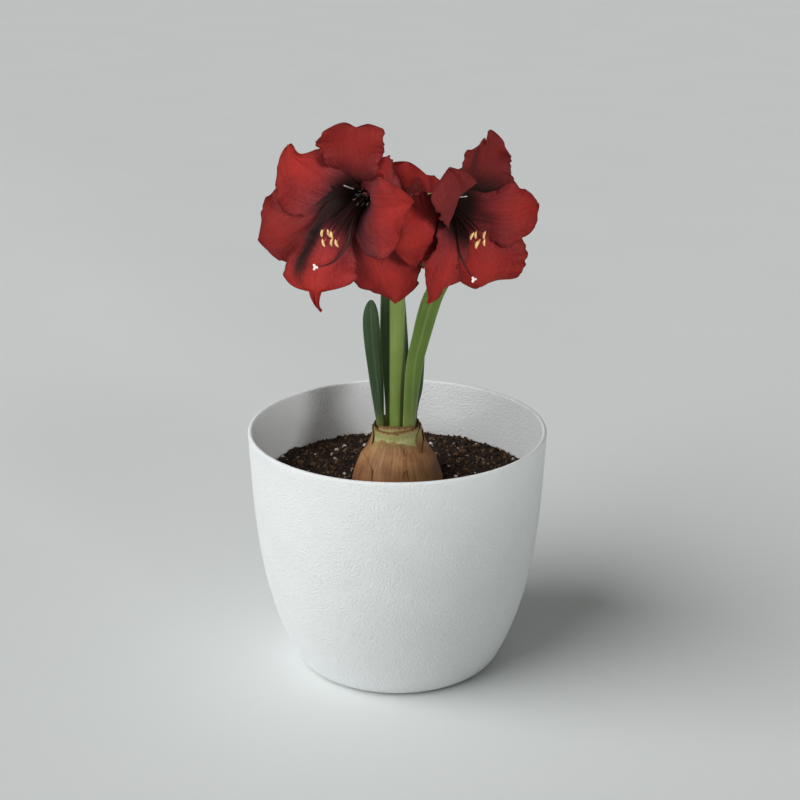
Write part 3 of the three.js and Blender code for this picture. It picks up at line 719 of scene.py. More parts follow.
def neck_sleeve(middle, spread, radius, top, rng):
    """Part of a ring that narrows upwards and thins towards its ragged rim."""
    across = np.linspace(-1, 1, SLEEVE["columns"])
    ragged = sum(np.sin(across * f + rng.uniform(0, 6)) / f for f in (3, 8, 19, 41))
    edge = top - 2.5 * across ** 4 + 0.8 * ragged
    share = np.linspace(0, 1, SLEEVE["rows"])[:, None]
    height = NECK_FOOT + (edge - NECK_FOOT) * share
    out = radius + 1.6 * (1 - share) - 0.8 * np.abs(across) ** 3 + 0.25 * np.sin(7 * across + middle) * share
    out = out + 0.7 * share ** 12
    angle = middle + spread * across
    grid = np.stack([out * np.cos(angle), out * np.sin(angle), height], -1)
    return sheet(grid, SLEEVE["thickness"] - SLEEVE["thinning"] * share * np.ones(len(across)))


def living_scale():
    material, tree, shader = new_material("living_bulb_scale", 0.48, Specular_IOR_Level=0.45)
    veins = noise(tree, sheet_place(tree, 44.0, 1.4), 1.0, 4.0, 0.6)
    uneven = maths(tree, "MULTIPLY", maths(tree, "SUBTRACT", veins, 0.5), 0.5)
    rise = maths(tree, "ADD", mark(tree, "along"), uneven)
    colour = ramp(tree, rise, (0.35, tone(186, 182, 128)), (0.62, tone(150, 154, 90)),
                  (0.8, tone(172, 158, 104)), (0.9, tone(148, 108, 66)), (1.0, tone(112, 74, 42)))
    lined = wash(tree, colour, tone(118, 96, 56), between(tree, veins, 0.52, 0.64), 0.5)
    paint(tree, shader, lined, bumps(tree, veins, 0.35, 0.7))
    return material


rng = np.random.default_rng(5)
core = turned("bulb_core", bulb_core(), CORE["round"], fleshy_core())
scales = sheets_object("bulb_scales", [papery_scale(k, rng) for k in range(SCALE["count"])], dry_paper())
sleeves = sheets_object("neck_sleeves", [neck_sleeve(*sizes, rng) for sizes in SLEEVES], living_scale())
bulb = joined("papery_bulb", [scales, sleeves, core])
settle(bulb, "bulb", "bulb")

# %% [markdown]
# ## Leaves
# The strap leaves rise out of the bulb's neck. A strap leaf is thick and keeled along its midrib, thin
# at its margins, and rounded at its tip; its veins all run lengthwise. Each follows a path of its own,
# and turns from facing sideways at its foot to facing forwards at its tip.

# %% Paths and widths of the leaves
STATIONS = (0, 0.2, 0.45, 0.75, 1)  # shares of a length at which widths and leans are given
LEAF = {"rib": 3, "margin": 0.72, "tip_thinning": 0.55, "root": NECK_FOOT, "round_tip": 0.14,
        "groove": 0.12, "sway": 0.35, "rows": 90, "columns": 25, "crowding": 1.3}
LEAVES = {
    "leaf_left": {
        "path": [(-13.5, 3, LEAF["root"]), (-15, 5, 232), (-20, 8, 277), (-23.2, 8, 318), (-23.4, 8, 341)],
        "half": (5.4, 5.6, 6.2, 7.6, 6.4), "foot": (0.45, 0.9, 0), "tip": (1, 0.1, 0), "hollow": 1.2,
    },
    "leaf_back": {
        "path": [(-2, 13.5, LEAF["root"]), (-2, 14, 234), (-2, 18, 273), (-3.6, 19, 322), (-5, 20, 378)],
        "half": (8, 9.5, 12.4, 11, 8), "foot": (1, 0.05, 0), "tip": (1, 0, 0), "hollow": -2.2,
    },
    "leaf_right": {
        "path": [(11, -9, LEAF["root"]), (12, -10, 235), (15, -12, 283), (20.5, -16, 312), (31, -26, 353),
                 (48, -40, 386)],
        "half": (6.4, 6.8, 7.4, 8.4, 6), "foot": (0.75, 0.66, 0), "tip": (0.97, 0, -0.25), "hollow": 2.2,
    },
    "leaf_right_back": {
        "path": [(15.6, 3.4, LEAF["root"]), (16.4, 4, 236), (18.6, 6, 278), (20.6, 8, 304), (22.4, 10, 326)],
        "half": (4.6, 5, 5.8, 5.6, 4.4), "foot": (-0.3, 0.95, 0), "tip": (1, 0.3, 0), "hollow": 1,
    },
}
print(len(LEAVES), "leaves leave the neck at a height of", LEAF["root"], "mm")

# %% Helpers for what follows a path
PATH_STEPS = 60  # between two points of a path
LOOK_AHEAD = 0.8  # millimetres before and behind a place that give its direction


def through_stations(values, t, stations=STATIONS):
    """A smooth line through values given at the stations."""
    at, values, last = np.array(stations, float), np.array(values, float), len(stations) - 1
    before, after = np.maximum(np.arange(last + 1) - 1, 0), np.minimum(np.arange(last + 1) + 1, last)
    slope = (values[after] - values[before]) / (at[after] - at[before])
    i = np.clip(np.searchsorted(at, t, side="right") - 1, 0, last - 1)
    h = at[i + 1] - at[i]
    u = (t - at[i]) / h
    return ((2 * u ** 3 - 3 * u ** 2 + 1) * values[i] + (u ** 3 - 2 * u ** 2 + u) * h * slope[i]
            + (3 * u ** 2 - 2 * u ** 3) * values[i + 1] + (u ** 3 - u ** 2) * h * slope[i + 1])


def length_along(points):
    """How far along a line each of its points lies."""
    return np.r_[0, np.cumsum(np.linalg.norm(np.diff(points, axis=0), axis=1))]


def read_off(at, marks, points):
    """The points of a line read off at numbers between its marks."""
    return np.stack([np.interp(at, marks, points[:, k]) for k in range(3)], -1)


def along_path(points, shares):
    """Places and directions at shares of the length of a smooth path."""
    fine = through(points, PATH_STEPS)
    run = length_along(fine)
    at = shares * run[-1]
    place, ahead, behind = (read_off(at + step, run, fine) for step in (0, LOOK_AHEAD, -LOOK_AHEAD))
    return place, unit(ahead - behind)


steps = through([(0, 0, 0), (0, 0, 10), (0, 0, 30)], PATH_STEPS)
print("a path of three points is", round(length_along(steps)[-1]), "mm long in", len(steps) - 1, "steps")

# %% The rule for one leaf
def leaf_sheet(leaf):
    """A hollowed, grooved blade that turns along its path; its rows crowd together at the tip."""
    t = 1 - (1 - np.linspace(0, 1, LEAF["rows"])) ** LEAF["crowding"]
    place, along = along_path(leaf["path"], t)
    share = ease(0, 0.5, t)[:, None]
    across = (1 - share) * np.array(leaf["foot"], float) + share * np.array(leaf["tip"], float)
    across = unit(across - along * (across * along).sum(1, keepdims=True))
    face = np.cross(across, along)
    into_tip = np.clip((t - 1 + LEAF["round_tip"]) / LEAF["round_tip"], 0, 1)
    width = through_stations(leaf["half"], t) * np.sqrt(np.maximum(1 - into_tip ** 2, 0.003))
    v = np.linspace(-1, 1, LEAF["columns"])
    keel = -leaf["hollow"] * v ** 2 + LEAF["groove"] * np.cos(11 * v)
    sway = LEAF["sway"] * np.sin(17 * t)[:, None] * v ** 2 * np.sign(v)
    grid = (place[:, None] + across[:, None] * (v * width[:, None])[..., None]
            + face[:, None] * (keel + sway)[..., None])
    thickness = LEAF["margin"] + (LEAF["rib"] - LEAF["margin"]) * (1 - v ** 2)
    return sheet(grid, thickness[None, :] * (1 - LEAF["tip_thinning"] * into_tip[:, None]))


print("a leaf has", LEAF["rows"] * LEAF["columns"], "points a face")

# %% Finish of the leaves
def leaf_green(name, deep, mid, pale_margin):
    """Lengthwise veins, a pale keel and margin, a waxy gloss and a lighter foot."""
    material, tree, shader = new_material(name, 0.45, Specular_IOR_Level=0.3, Coat_Weight=0.06,
                                          Coat_Roughness=0.35)
    across = mark(tree, "across")
    from_rib = maths(tree, "MULTIPLY", maths(tree, "ABSOLUTE", maths(tree, "SUBTRACT", across, 0.5)), 2.0)
    veins = noise(tree, sheet_place(tree, 46.0, 2.2), 1.0, 4.0, 0.6)
    patch = noise(tree, object_place(tree), 60.0, 3.0)
    share = maths(tree, "ADD", maths(tree, "MULTIPLY", veins, 0.7), maths(tree, "MULTIPLY", patch, 0.3))
    green = ramp(tree, share, (0.32, deep), (0.66, mid))
    rib = maths(tree, "MULTIPLY", between(tree, from_rib, 0.16, 0.0), 0.35)
    margin = maths(tree, "MULTIPLY", between(tree, from_rib, 0.86, 1.0), 0.8)
    lined = mix(tree, maths(tree, "MAXIMUM", rib, margin), green, pale_margin)
    foot = between(tree, mark(tree, "along"), 0.2, 0.0)
    paint(tree, shader, wash(tree, lined, tone(150, 158, 92), foot, 0.75), bumps(tree, veins, 0.25, 0.6))
    return material


# The greens are partly the leaves' own and partly painted light: the right leaf has a brighter green for the
# light it catches, and the back leaf a lighter green that lifts the shade it lies in.
DARK_LEAF = leaf_green("leaf_dark_green", tone(36, 56, 33), tone(54, 79, 46), tone(84, 106, 62))
MIDDLE_LEAF = leaf_green("leaf_middle_green", tone(52, 76, 44), tone(78, 106, 62), tone(108, 128, 80))
BRIGHT_LEAF = leaf_green("leaf_bright_green", tone(72, 98, 36), tone(104, 130, 56), tone(142, 156, 94))

for leaf_name, leaf in LEAVES.items():
    green = {"leaf_right": BRIGHT_LEAF, "leaf_back": MIDDLE_LEAF}.get(leaf_name, DARK_LEAF)
    blade = sheets_object("strap_" + leaf_name, [leaf_sheet(leaf)], green)
    settle(blade, leaf_name, leaf_name)

# %% [markdown]
# ## Stalks
# The scape's pedicels, the filaments and the style are all round stalks of changing thickness that
# follow a path. The tree below takes lines of points, each with its own thickness, and gives every
# line a round skin. Two close rings at an end, where the thickness falls to nothing, round it off.

# %% A tree that gives lines a round skin
def stalk_tree():
    tree, given = new_tree("round_stalks", sides=16)
    lines = add(tree, "GeometryNodeMeshToCurve", {0: given["Geometry"]}).outputs[0]
    thick = add(tree, "GeometryNodeInputNamedAttribute", {"Name": "thick"}, data_type="FLOAT").outputs[0]
    ring = add(tree, "GeometryNodeCurvePrimitiveCircle", {"Resolution": given["sides"], "Radius": 1.0})
    skin = add(tree, "GeometryNodeCurveToMesh", {"Curve": lines, "Profile Curve": ring.outputs[0],
                                                 "Scale": thick, "Fill Caps": True})
    finish_tree(tree, skin.outputs[0], given["material"])
    return tree


STALKS = stalk_tree()
ROUND_END, SHARP_END = 0.08, 0.002  # shares: of a length that an end rounds off over, and of its arc


def stalks(name, lines, sides, material):
    """Round stalks along lines of points; each line comes with its radii in millimetres."""
    points = np.vstack([line for line, _ in lines])
    starts = np.cumsum([0] + [len(line) for line, _ in lines[:-1]])
    edges = [(s + i, s + i + 1) for (line, _), s in zip(lines, starts) for i in range(len(line) - 1)]
    mesh = plain_mesh(name + "_lines", points, edges=edges)
    store(mesh, "thick", np.concatenate([np.broadcast_to(r, len(line)) for line, r in lines]) * MM)
    store(mesh, "along", np.concatenate([np.linspace(0, 1, len(line)) for line, _ in lines]))
    return grow(name, mesh, STALKS, sides=sides, material=material)


def rounding(u):
    """Rises from almost nothing to 1 like a quarter of a circle."""
    rise = np.clip(u / ROUND_END, SHARP_END, 1)
    return np.sqrt(rise * (2 - rise))


def rounded(count, radius, foot=True):
    """Radii of a stalk whose tip, and where asked its foot, is rounded off."""
    u = np.linspace(0, 1, count)
    return radius * (rounding(u) if foot else 1) * rounding(1 - u)


print("the stalk tree has", len(STALKS.nodes), "nodes")

# %% [markdown]
# ## Blooms, where they sit
# Each bloom has its own frame: its axis runs forwards out of the throat, with right and up across it.
# Its tube sits on an ovary at the end of a pedicel. One table says where the blooms are, how they
# turn, and what shapes their six tepals have: three sepals outside and three petals inside.

# %% What a tepal has, unless its bloom says otherwise
WIDTH_STATIONS = (0, 0.3, 0.5, 0.7, 0.85, 1)
TEPAL = {
    "sepal": False, "root": 3.4, "sepal_step": 1.6,  # distance of its root from the tube's middle
    "bearing": 0, "length": 100,  # degrees round the throat, clockwise from the top
    "throat": (12, 24), "lean": (46, 72, 96), "hook": 20,  # how far its rib leans back, in degrees
    "left": (17, 26, 30, 24, 8), "right": (17, 26, 30, 24, 8), "closing": 0.9,  # widths beside the rib
    "tail": 0, "tail_width": 7,  # the share of its length that is drawn out to a tip
    "sway": 0, "twist": 0, "cup": 0, "open": (0.22, 0.55),  # where its sides let go of the throat
    "notch": (0, 0, 6),  # place, depth and half width of a nick in its end
    "wave": 3.5, "waves": 3.5, "frill": 0.04, "ripples": 5,  # of its margin
    "dark": 0.47, "painted_shade": 0,  # how far out the throat's black reaches, and how much painted shade darkens the whole blade
    "streaks": (),  # dark streaks, partly painted shade of folds and gaps; each with its place at the root and at the tip, half width, strength and end
    "bristles": (),  # each with its place across, and where it starts and ends along the tepal
}
SEPAL = {**TEPAL, "sepal": True}
print("a tepal is described by", len(TEPAL), "words")

# %% The large bloom on the left
BLOOMS = {
    "a": {
        "seat": (-21.9, -34, 446), "yaw": -25, "pitch": 0, "anthers": (-6, -25, 66), "stigma": (-9, -45, 84),
        "style": [(1, -5.5, 25), (3.2, -17.5, 42), (5.6, -31, 54.5), (1.7, -40.7, 65), (-2.9, -44.6, 74)],
        "tepals": [
            {**SEPAL, "bearing": 16, "length": 86, "lean": (51, 81, 82), "sway": -17, "twist": 22,
             "cup": 16, "notch": (1, 5, 6), "dark": 0.37, "painted_shade": 0.35, "left": (16, 22, 28, 31, 15),
             "right": (20, 17, 22, 24, 21)},
            {**SEPAL, "bearing": -106, "length": 110, "lean": (60, 85, 68), "sway": -17, "twist": 14,
             "cup": -17, "dark": 0.52, "painted_shade": 0.4, "left": (19, 26, 27, 30, 12),
             "right": (16, 25, 32, 25, 6)},
            {**SEPAL, "bearing": 146, "length": 111, "lean": (66, 99, 82), "sway": 14, "painted_shade": 0.15,
             "cup": -19, "left": (18, 26, 31, 31, 15), "right": (19, 29, 34, 21, 1),
             "dark": 0.46, "streaks": [(0.3, 0.45, 0.16, 0.55, 0.6)]},
            {**TEPAL, "bearing": -56, "length": 92, "lean": (50, 79, 110), "sway": 8, "twist": 16,
             "cup": 4, "dark": 0.47, "left": (21, 36, 39, 22, 12), "right": (13, 18, 22, 5, 7),
             "bristles": [(0.27, 0.22, 0.35), (-0.3, 0.09, 0.17)]},
            {**TEPAL, "bearing": -154, "length": 127, "lean": (42, 56, 121), "tail": 0.15, "sway": -31,
             "cup": 9, "left": (11, 17, 28, 33, 22), "right": (18, 19, 21, 27, 30),
             "dark": 0.46, "streaks": [(1.12, 0.36, 0.37, 0.8, 0.86), (-0.9, -0.95, 0.25, 0.7, 0.55)]},
            {**TEPAL, "bearing": 96, "length": 106, "lean": (32, 64, 100), "sway": -25,
             "cup": -9, "dark": 0.3, "streaks": [(0.6, 1, 0.3, 0.6, 0.5)],
             "left": (18, 22, 24, 18, 9), "right": (26, 40, 37, 18, 1)},
        ],
    },
}
print("the left bloom is turned", BLOOMS["a"]["yaw"], "degrees from straight ahead")

# %% The bloom on the right
BLOOMS["b"] = {
    "seat": (32.6, -30, 439.2), "yaw": 35, "pitch": 0, "anthers": (-3, -21, 62), "stigma": (-21, -48, 80),
    "style": [(-1.5, -4, 24), (-6, -13, 37), (-12.8, -25, 48.5), (-16.8, -34.5, 57.5), (-18.1, -43.4, 69)],
    "tepals": [
        {**SEPAL, "bearing": 11, "length": 93, "lean": (41, 63, 79), "sway": -6,
         "cup": 19, "notch": (-3, 8, 2), "dark": 0.56, "painted_shade": 0.7, "streaks": [(0.8, -0.7, 0.36, 0.5, 1)],
         "left": (18, 22, 20, 16, 0), "right": (22, 38, 30, 18, 8)},
        {**SEPAL, "bearing": -113, "length": 97, "lean": (55, 82, 105), "sway": 11,
         "cup": -4, "dark": 0.36, "left": (19, 25, 22, 20, 9), "right": (19, 30, 36, 29, 12)},
        {**SEPAL, "bearing": 153, "length": 89, "lean": (45, 65, 90), "sway": 35, "twist": -8,
         "cup": 22, "dark": 0.45, "left": (13, 32, 43, 38, 30), "right": (19, 28, 33, 32, 25)},
        {**TEPAL, "bearing": -71, "length": 114, "lean": (18, 48, 101), "sway": 34, "twist": -24,
         "cup": 3, "dark": 0.45, "painted_shade": 0.75, "left": (18, 23, 26, 28, 13), "right": (22, 19, 16, 10, 4)},
        {**TEPAL, "bearing": -144, "length": 114, "lean": (47, 80, 82), "sway": 3,
         "cup": -6, "dark": 0.5, "streaks": [(0, 0, 0.25, 0.5, 0.62)],
         "left": (16, 21, 18, 9, 4), "right": (16, 18, 19, 17, 0)},
        {**TEPAL, "bearing": 101, "length": 94, "lean": (40, 76, 87), "sway": -15, "twist": -10,
         "cup": 5, "dark": 0.45, "painted_shade": 0.25, "streaks": [(0.3, 0.2, 0.3, 0.5, 0.66)],
         "bristles": [(-0.65, 0.2, 0.3)], "left": (15, 14, 23, 16, 2), "right": (19, 26, 30, 20, 8)},
    ],
}
print("the right bloom is turned", BLOOMS["b"]["yaw"], "degrees from straight ahead")

# %% The bloom that faces away
BACK_TEPAL = {"length": 84, "lean": (36, 52, 64), "left": (16, 24, 28, 22, 6), "right": (16, 24, 28, 22, 6)}
BLOOMS["c"] = {
    "seat": (5, 22, 409), "yaw": -176, "pitch": -10, "anthers": (0, -14, 58), "stigma": (0, -24, 70),
    "style": [(0, -3, 26), (0, -12, 50)],
    "tepals": [
        {**SEPAL, "bearing": -9, "length": 78, "lean": (33, 49, 71),
         "cup": -6, "left": (17, 23, 25, 20, 11), "right": (16, 24, 29, 26, 15)},
        {**TEPAL, "bearing": 46, "length": 79, "lean": (39, 48, 64), "sway": 6,
         "cup": -25, "left": (15, 25, 35, 37, 4), "right": (16, 22, 25, 19, 7)},
        *[{**kind, **BACK_TEPAL, "bearing": bearing}
          for bearing, kind in ((110, SEPAL), (172, TEPAL), (-128, SEPAL), (-68, TEPAL))],
    ],
}
print(len(BLOOMS), "blooms with", [len(bloom["tepals"]) for bloom in BLOOMS.values()], "tepals")

# %% A bloom's own frame
def bloom_frame(bloom):
    """The bloom's right, up and forward directions, as rows."""
    yaw, pitch = math.radians(bloom["yaw"]), math.radians(bloom["pitch"])
    forward = np.array([math.sin(yaw) * math.cos(pitch), -math.cos(yaw) * math.cos(pitch), math.sin(pitch)])
    up = unit(np.array([0, 0, 1]) - forward * forward[2])
    return np.array([np.cross(up, forward), up, forward])


def in_plant(bloom, points):
    """Points from the bloom's own frame to the plant's."""
    return np.asarray(points, float) @ bloom_frame(bloom) + np.array(bloom["seat"], float)


print("the left bloom looks along", bloom_frame(BLOOMS["a"])[2].round(2))

# %% [markdown]
# ## Scape
# The scape is a smooth, hollow, slightly glaucous stalk. At its top it grows on into one short
# pedicel for each bloom, and each pedicel swells into the green ovary behind the tube. The stalks
# overlap at first; remeshing them as one skin gives the soft joins that living tissue has.

# %% One skin over scape, pedicels and ovaries
SCAPE = {"radius": 7.2, "foot": 206, "top": 365, "overshoot": 2, "taper": 0.4, "rings": 40, "sides": 40,
         "voxel": 0.9, "softening": 6}
PEDICEL = {"radius": 3.8, "ovary": 5.6, "ovary_length": 20, "arch": 34, "start": 4, "rings": 60}


def pedicel_line(bloom):
    """An arch from inside the scape's top to the bloom's seat, with radii that swell at the ovary."""
    forward = bloom_frame(bloom)[2]
    seat = np.array(bloom["seat"], float)
    path = bend_through((0, 0, SCAPE["top"] - PEDICEL["start"]), seat - forward * PEDICEL["arch"],
                        seat - forward * GAP, PEDICEL["rings"])
    run = length_along(path)
    u = np.clip((run - run[-1] + PEDICEL["ovary_length"]) / PEDICEL["ovary_length"], 0, 1)
    return path, PEDICEL["radius"] + (PEDICEL["ovary"] - PEDICEL["radius"]) * np.sin(math.pi * u * 0.8)


def straight_up(heights):
    """A straight line up the middle."""
    return np.c_[0 * heights, 0 * heights, heights]


def green_skin():
    material, tree, shader = new_material("scape_green", 0.45, Specular_IOR_Level=0.4)
    place = object_place(tree)
    lines = noise(tree, stretched(tree, place, (520.0, 520.0, 16.0)), 1.0, 4.0, 0.6)
    patch = noise(tree, place, 26.0, 3.0)
    share = maths(tree, "ADD", maths(tree, "MULTIPLY", lines, 0.5), maths(tree, "MULTIPLY", patch, 0.5))
    colour = ramp(tree, share, (0.33, tone(102, 122, 52)), (0.52, tone(118, 139, 64)),
                  (0.7, tone(136, 155, 84)))
    paint(tree, shader, colour, bumps(tree, lines, 0.2, 0.5))
    return material


stem_share = np.linspace(0, 1, SCAPE["rings"])
stem_heights = np.linspace(SCAPE["foot"], SCAPE["top"] + SCAPE["overshoot"], SCAPE["rings"])
stem_radii = rounded(SCAPE["rings"], SCAPE["radius"] - SCAPE["taper"] * stem_share, foot=False)
scape_lines = [(straight_up(stem_heights), stem_radii), *[pedicel_line(bloom) for bloom in BLOOMS.values()]]
scape = stalks("flower_stalk", scape_lines, SCAPE["sides"], None)
skin = scape.modifiers.new("skin", "REMESH")
skin.mode = "VOXEL"
skin.voxel_size = SCAPE["voxel"] * MM
soften = scape.modifiers.new("soften", "SMOOTH")
soften.iterations = SCAPE["softening"]
bpy.context.view_layer.update()
whole = bpy.data.meshes.new_from_object(scape.evaluated_get(bpy.context.evaluated_depsgraph_get()))
scape.modifiers.clear()
scape.data = whole
scape.data.materials.clear()
scape.data.materials.append(green_skin())
scape.data.shade_smooth()
settle(scape, "scape", "scape")

# %% [markdown]
# ## Bracts
# Two papery bracts, the spathe, wrapped the buds. They have opened, dried from the tip and hang by
# their bases at the top of the scape. Each is a crumpled sheet with lengthwise veins.

# %% The two bracts
SPATHE = {"foot": 352, "clasp": 8, "thickness": 0.5, "half": (4, 6, 6.5, 4, 1), "rows": 60, "columns": 23}


def bract_sheet(side):
    """Side is -1 for the left bract and 1 for the right one."""
    off = SCAPE["radius"] + GAP + SPATHE["thickness"]
    path = [(side * off, 0, SPATHE["foot"]), (side * off, 0, SPATHE["foot"] + SPATHE["clasp"]),
            (side * 14, 3, 370), (side * 26, 8, 374)]
    t = np.linspace(0, 1, SPATHE["rows"])
    place, along = along_path(path, t)
    across = unit(np.array([0, 1, 0]) - along * along[:, 1:2])
    v = np.linspace(-1, 1, SPATHE["columns"])
    width = through_stations(SPATHE["half"], t) * (1 + 0.05 * np.sin(31 * t))
    grid = place[:, None] + across[:, None] * (v * width[:, None])[..., None]
    grid[..., 0] += side * (v ** 2 * 0.6 + 0.25 * np.sin(9 * v) * ease(0.2, 0.7, t)[:, None])
    grid[..., 2] += 0.8 * np.sin(9 * t)[:, None] * np.abs(v) + 0.3 * np.sin(37 * t)[:, None] * v ** 2
    return sheet(grid, SPATHE["thickness"])


def dry_bract():
    material, tree, shader = new_material("dry_bract", 0.65, Specular_IOR_Level=0.3)
    veins = noise(tree, sheet_place(tree, 34.0, 1.5), 1.0, 4.0, 0.6)
    dryness = maths(tree, "ADD", mark(tree, "along"), maths(tree, "MULTIPLY", veins, 0.4))
    colour = ramp(tree, dryness, (0.25, tone(134, 146, 84)), (0.55, tone(176, 156, 108)),
                  (1.0, tone(140, 104, 68)))
    paint(tree, shader, colour, bumps(tree, veins, 0.4, 0.7))
    return material


BRACT = dry_bract()
for bract_name, side in (("left", -1), ("right", 1)):
    bract = sheets_object("bract_" + bract_name, [bract_sheet(side)], BRACT)
    settle(bract, "spathe_" + bract_name, "spathe_" + bract_name)

# %% [markdown]
# ## Tepals
# A tepal's midrib climbs out of the tube and leans further and further back. Its sides wrap round
# the throat near the tube and open into a blade with a waved, frilled margin. All of that is one
# rule with a few numbers for each tepal, so the surface is worked out as a grid rather than modelled.

# %% How wide a tepal is, and how it curves across
STRIDES = 24  # from the midrib to a margin
NARROWEST = 0.8  # millimetres beside the rib, at the very tip
ROOT_WIDTH = 0.62  # of the root's distance from the tube's middle
TAIL_TAPER = 1.3  # above 1 a tail narrows over its whole length


def tepal_widths(s, t):
    """Widths left and right of the midrib, at t along it."""
    body = np.minimum(t / (1 - s["tail"]), 1)
    closing = np.sqrt(1 - np.clip((body - s["closing"]) / (1 - s["closing"]), 0, 1) ** 2)
    tail = s["tail_width"] * np.minimum((1 - t) / (TAIL_TAPER * s["tail"]), 1) if s["tail"] else 0
    halves = [through_stations((s["root"] * ROOT_WIDTH, *s[side]), body, WIDTH_STATIONS)
              for side in ("left", "right")]
    return [np.maximum(half * closing, np.maximum(tail, NARROWEST)) for half in halves]


def across_tepal(v, bend):
    """Places across each row, walked outwards from the midrib: sideways and towards the face."""
    u = v[None, :, None] * ((np.arange(STRIDES) + 0.5) / STRIDES)
    angle = bend[:, None, None] * u
    step = v / STRIDES
    return np.cos(angle).sum(-1) * step, np.sin(angle).sum(-1) * step


print("halfway up, a plain tepal is", round(sum(tepal_widths(TEPAL, np.array([0.5])))[0]), "mm wide")

# %% Waves of the margin, and the fine relief
WAVE_WIDTH, FRINGE_WIDTH = 19, 22  # a tepal narrower than this beside its rib waves and frays less
RELIEF = {"channel": 0.75, "channel_half": 0.08, "folds": 0.9, "crinkle": 0.65, "fringe": 0.017}


def margin_waves(s, t, v, width, phase):
    """How far the margin swings out of the blade, and how far in and out as a share of its width."""
    edge, is_right = np.abs(v), (v > 0).astype(float)
    turns = 2 * math.pi * t
    swell = s["wave"] * ease(0.3, 0.75, t) * np.minimum(1, width / WAVE_WIDTH)
    wave = swell * edge ** 2.2 * np.sin(s["waves"] * turns + phase + 1.7 * is_right)
    ripple = s["frill"] * edge ** 3 * np.sin(s["ripples"] * turns + 2 * phase + 2.1 * is_right)
    return wave, ripple


def fine_relief(t, v, width, phase):
    """Beside the main form: a channel on the midrib, pleats, a few broad folds and a crinkled fringe."""
    edge = np.abs(v)
    opened = ease(0.18, 0.4, t)
    across_channel = np.exp(-(v / RELIEF["channel_half"]) ** 2)
    channel = -RELIEF["channel"] * across_channel * opened * (1 - 0.7 * ease(0.8, 1, t))
    wander = 1.1 * np.sin(5 * t + phase) + 0.8 * np.sin(3 * v + 2 * phase)
    pleats = (0.09 * np.cos(v * 19 + wander) + 0.07 * np.cos(v * 43 - 2 * wander)) * opened * (1 - edge ** 4)
    rolling = 5.6 * v + 2 * phase + 0.7 * np.sin(4 * t + phase)
    folds = RELIEF["folds"] * np.sin(rolling) * ease(0.3, 0.6, t) * (1 - edge ** 6)
    sides = np.where(v < 0, 0.0, 2.6)
    crinkle = (np.sin(67 * t + phase + sides) + 0.8 * np.sin(113 * t + 2 * phase + 2 * sides)
               + np.sin(37 * t + sides))
    teeth = (np.sin(83 * t + phase + sides) + np.sin(51 * t - phase + 2 * sides)
             + 0.6 * np.sin(147 * t + sides))
    share = np.minimum(1, width / FRINGE_WIDTH) * ease(0.3, 0.6, t)
    relief = channel + pleats + folds + RELIEF["crinkle"] * crinkle * edge ** 5 * share
    return relief, RELIEF["fringe"] * edge ** 7 * share * teeth


print("the folds of a tepal swing", RELIEF["folds"], "mm and its midrib lies", RELIEF["channel"], "mm deep")

# %% The rule for one tepal
TEPAL_ROWS, TEPAL_COLUMNS, CROWDING = 84, 41, 1.2  # rows crowd together at the tip


def tepal_spine(s, t):
    """The midrib, and at each of its points how it leans, where it goes, where it faces, its side."""
    bearing = math.radians(s["bearing"])
    outward, axis = np.array([math.sin(bearing), math.cos(bearing), 0]), np.array([0, 0, 1.0])
    leans = (*s["throat"], *s["lean"])
    lean = np.radians(through_stations(leans, t) + s["hook"] * ease(0.84, 1, t))[:, None]
    along = np.sin(lean) * outward + np.cos(lean) * axis
    face = -np.cos(lean) * outward + np.sin(lean) * axis
    turn = (-math.radians(s["sway"]) * ease(0.15, 1, t))[:, None]
    along = along * np.cos(turn) + np.cross(face, along) * np.sin(turn)
    side = np.cross(along, face)
    twist = (math.radians(s["twist"]) * ease(0.25, 0.8, t))[:, None]
    face, side = face * np.cos(twist) + side * np.sin(twist), side * np.cos(twist) - face * np.sin(twist)
    start = outward * (s["root"] + (s["sepal_step"] if s["sepal"] else 0))
    steps = (along[1:] + along[:-1]) / 2 * (np.diff(t) * s["length"])[:, None]
    spine = start + np.vstack([np.zeros(3), np.cumsum(steps, axis=0)])
    return spine, lean[:, 0], along, face, side


def tepal_grid(s):
    """The surface between a tepal's two faces, in the bloom's own frame, and its marks."""
    t = 1 - (1 - np.linspace(0, 1, TEPAL_ROWS)) ** CROWDING
    v = np.linspace(-1, 1, TEPAL_COLUMNS)
    spine, lean, along, face, side = tepal_spine(s, t)
    left, right = tepal_widths(s, t)
    middling = (left + right) / 2
    wrap = 1 - ease(*s["open"], t)
    off_axis = np.maximum(np.hypot(spine[:, 0], spine[:, 1]), 1)
    cup = math.radians(s["cup"]) * ease(0.2, 0.6, t)
    x, y = across_tepal(v, wrap * middling * np.cos(lean) / off_axis + (1 - wrap) * cup)
    phase = 3 * math.radians(s["bearing"])  # so that no two tepals wave alike
    wave, ripple = margin_waves(s, t[:, None], v, middling[:, None], phase)
    relief, fringe = fine_relief(t[:, None], v, middling[:, None], phase)
    width = np.where(v < 0, left[:, None], right[:, None])
    place, depth, half = s["notch"]
    pull = depth * np.exp(-((width * x - place) / half) ** 2) * ease(0.8, 1, t)[:, None]
    grid = (spine[:, None] - along[:, None] * pull[..., None]
            + side[:, None] * (width * x * (1 + ripple + fringe))[..., None]
            + face[:, None] * (width * y + wave + relief)[..., None])
    return grid, t, v


print("a tepal has", TEPAL_ROWS * TEPAL_COLUMNS, "points a face")

# %% [markdown]
# The colour is a deep velvety red. Towards the throat it turns wine-red and then nearly black, and
# the dark runs out along the veins. How dark a point is belongs to its place on the tepal, so it is
# worked out with the surface and kept as a mark; the material feathers it along the veins. The same
# mark carries dark streaks that are partly painted shade, in folds and in the gaps between tepals.

# %% Marks for the throat, and one bloom's perianth
TUBE = {"foot": 5.2, "mouth": 9.4, "depth": 16, "thickness": 0.8, "ribs": 0.25, "share": 0.16,
        "rows": 16, "columns": 41}
RIB_THICKNESS, MARGIN_THICKNESS = 1.0, 0.45


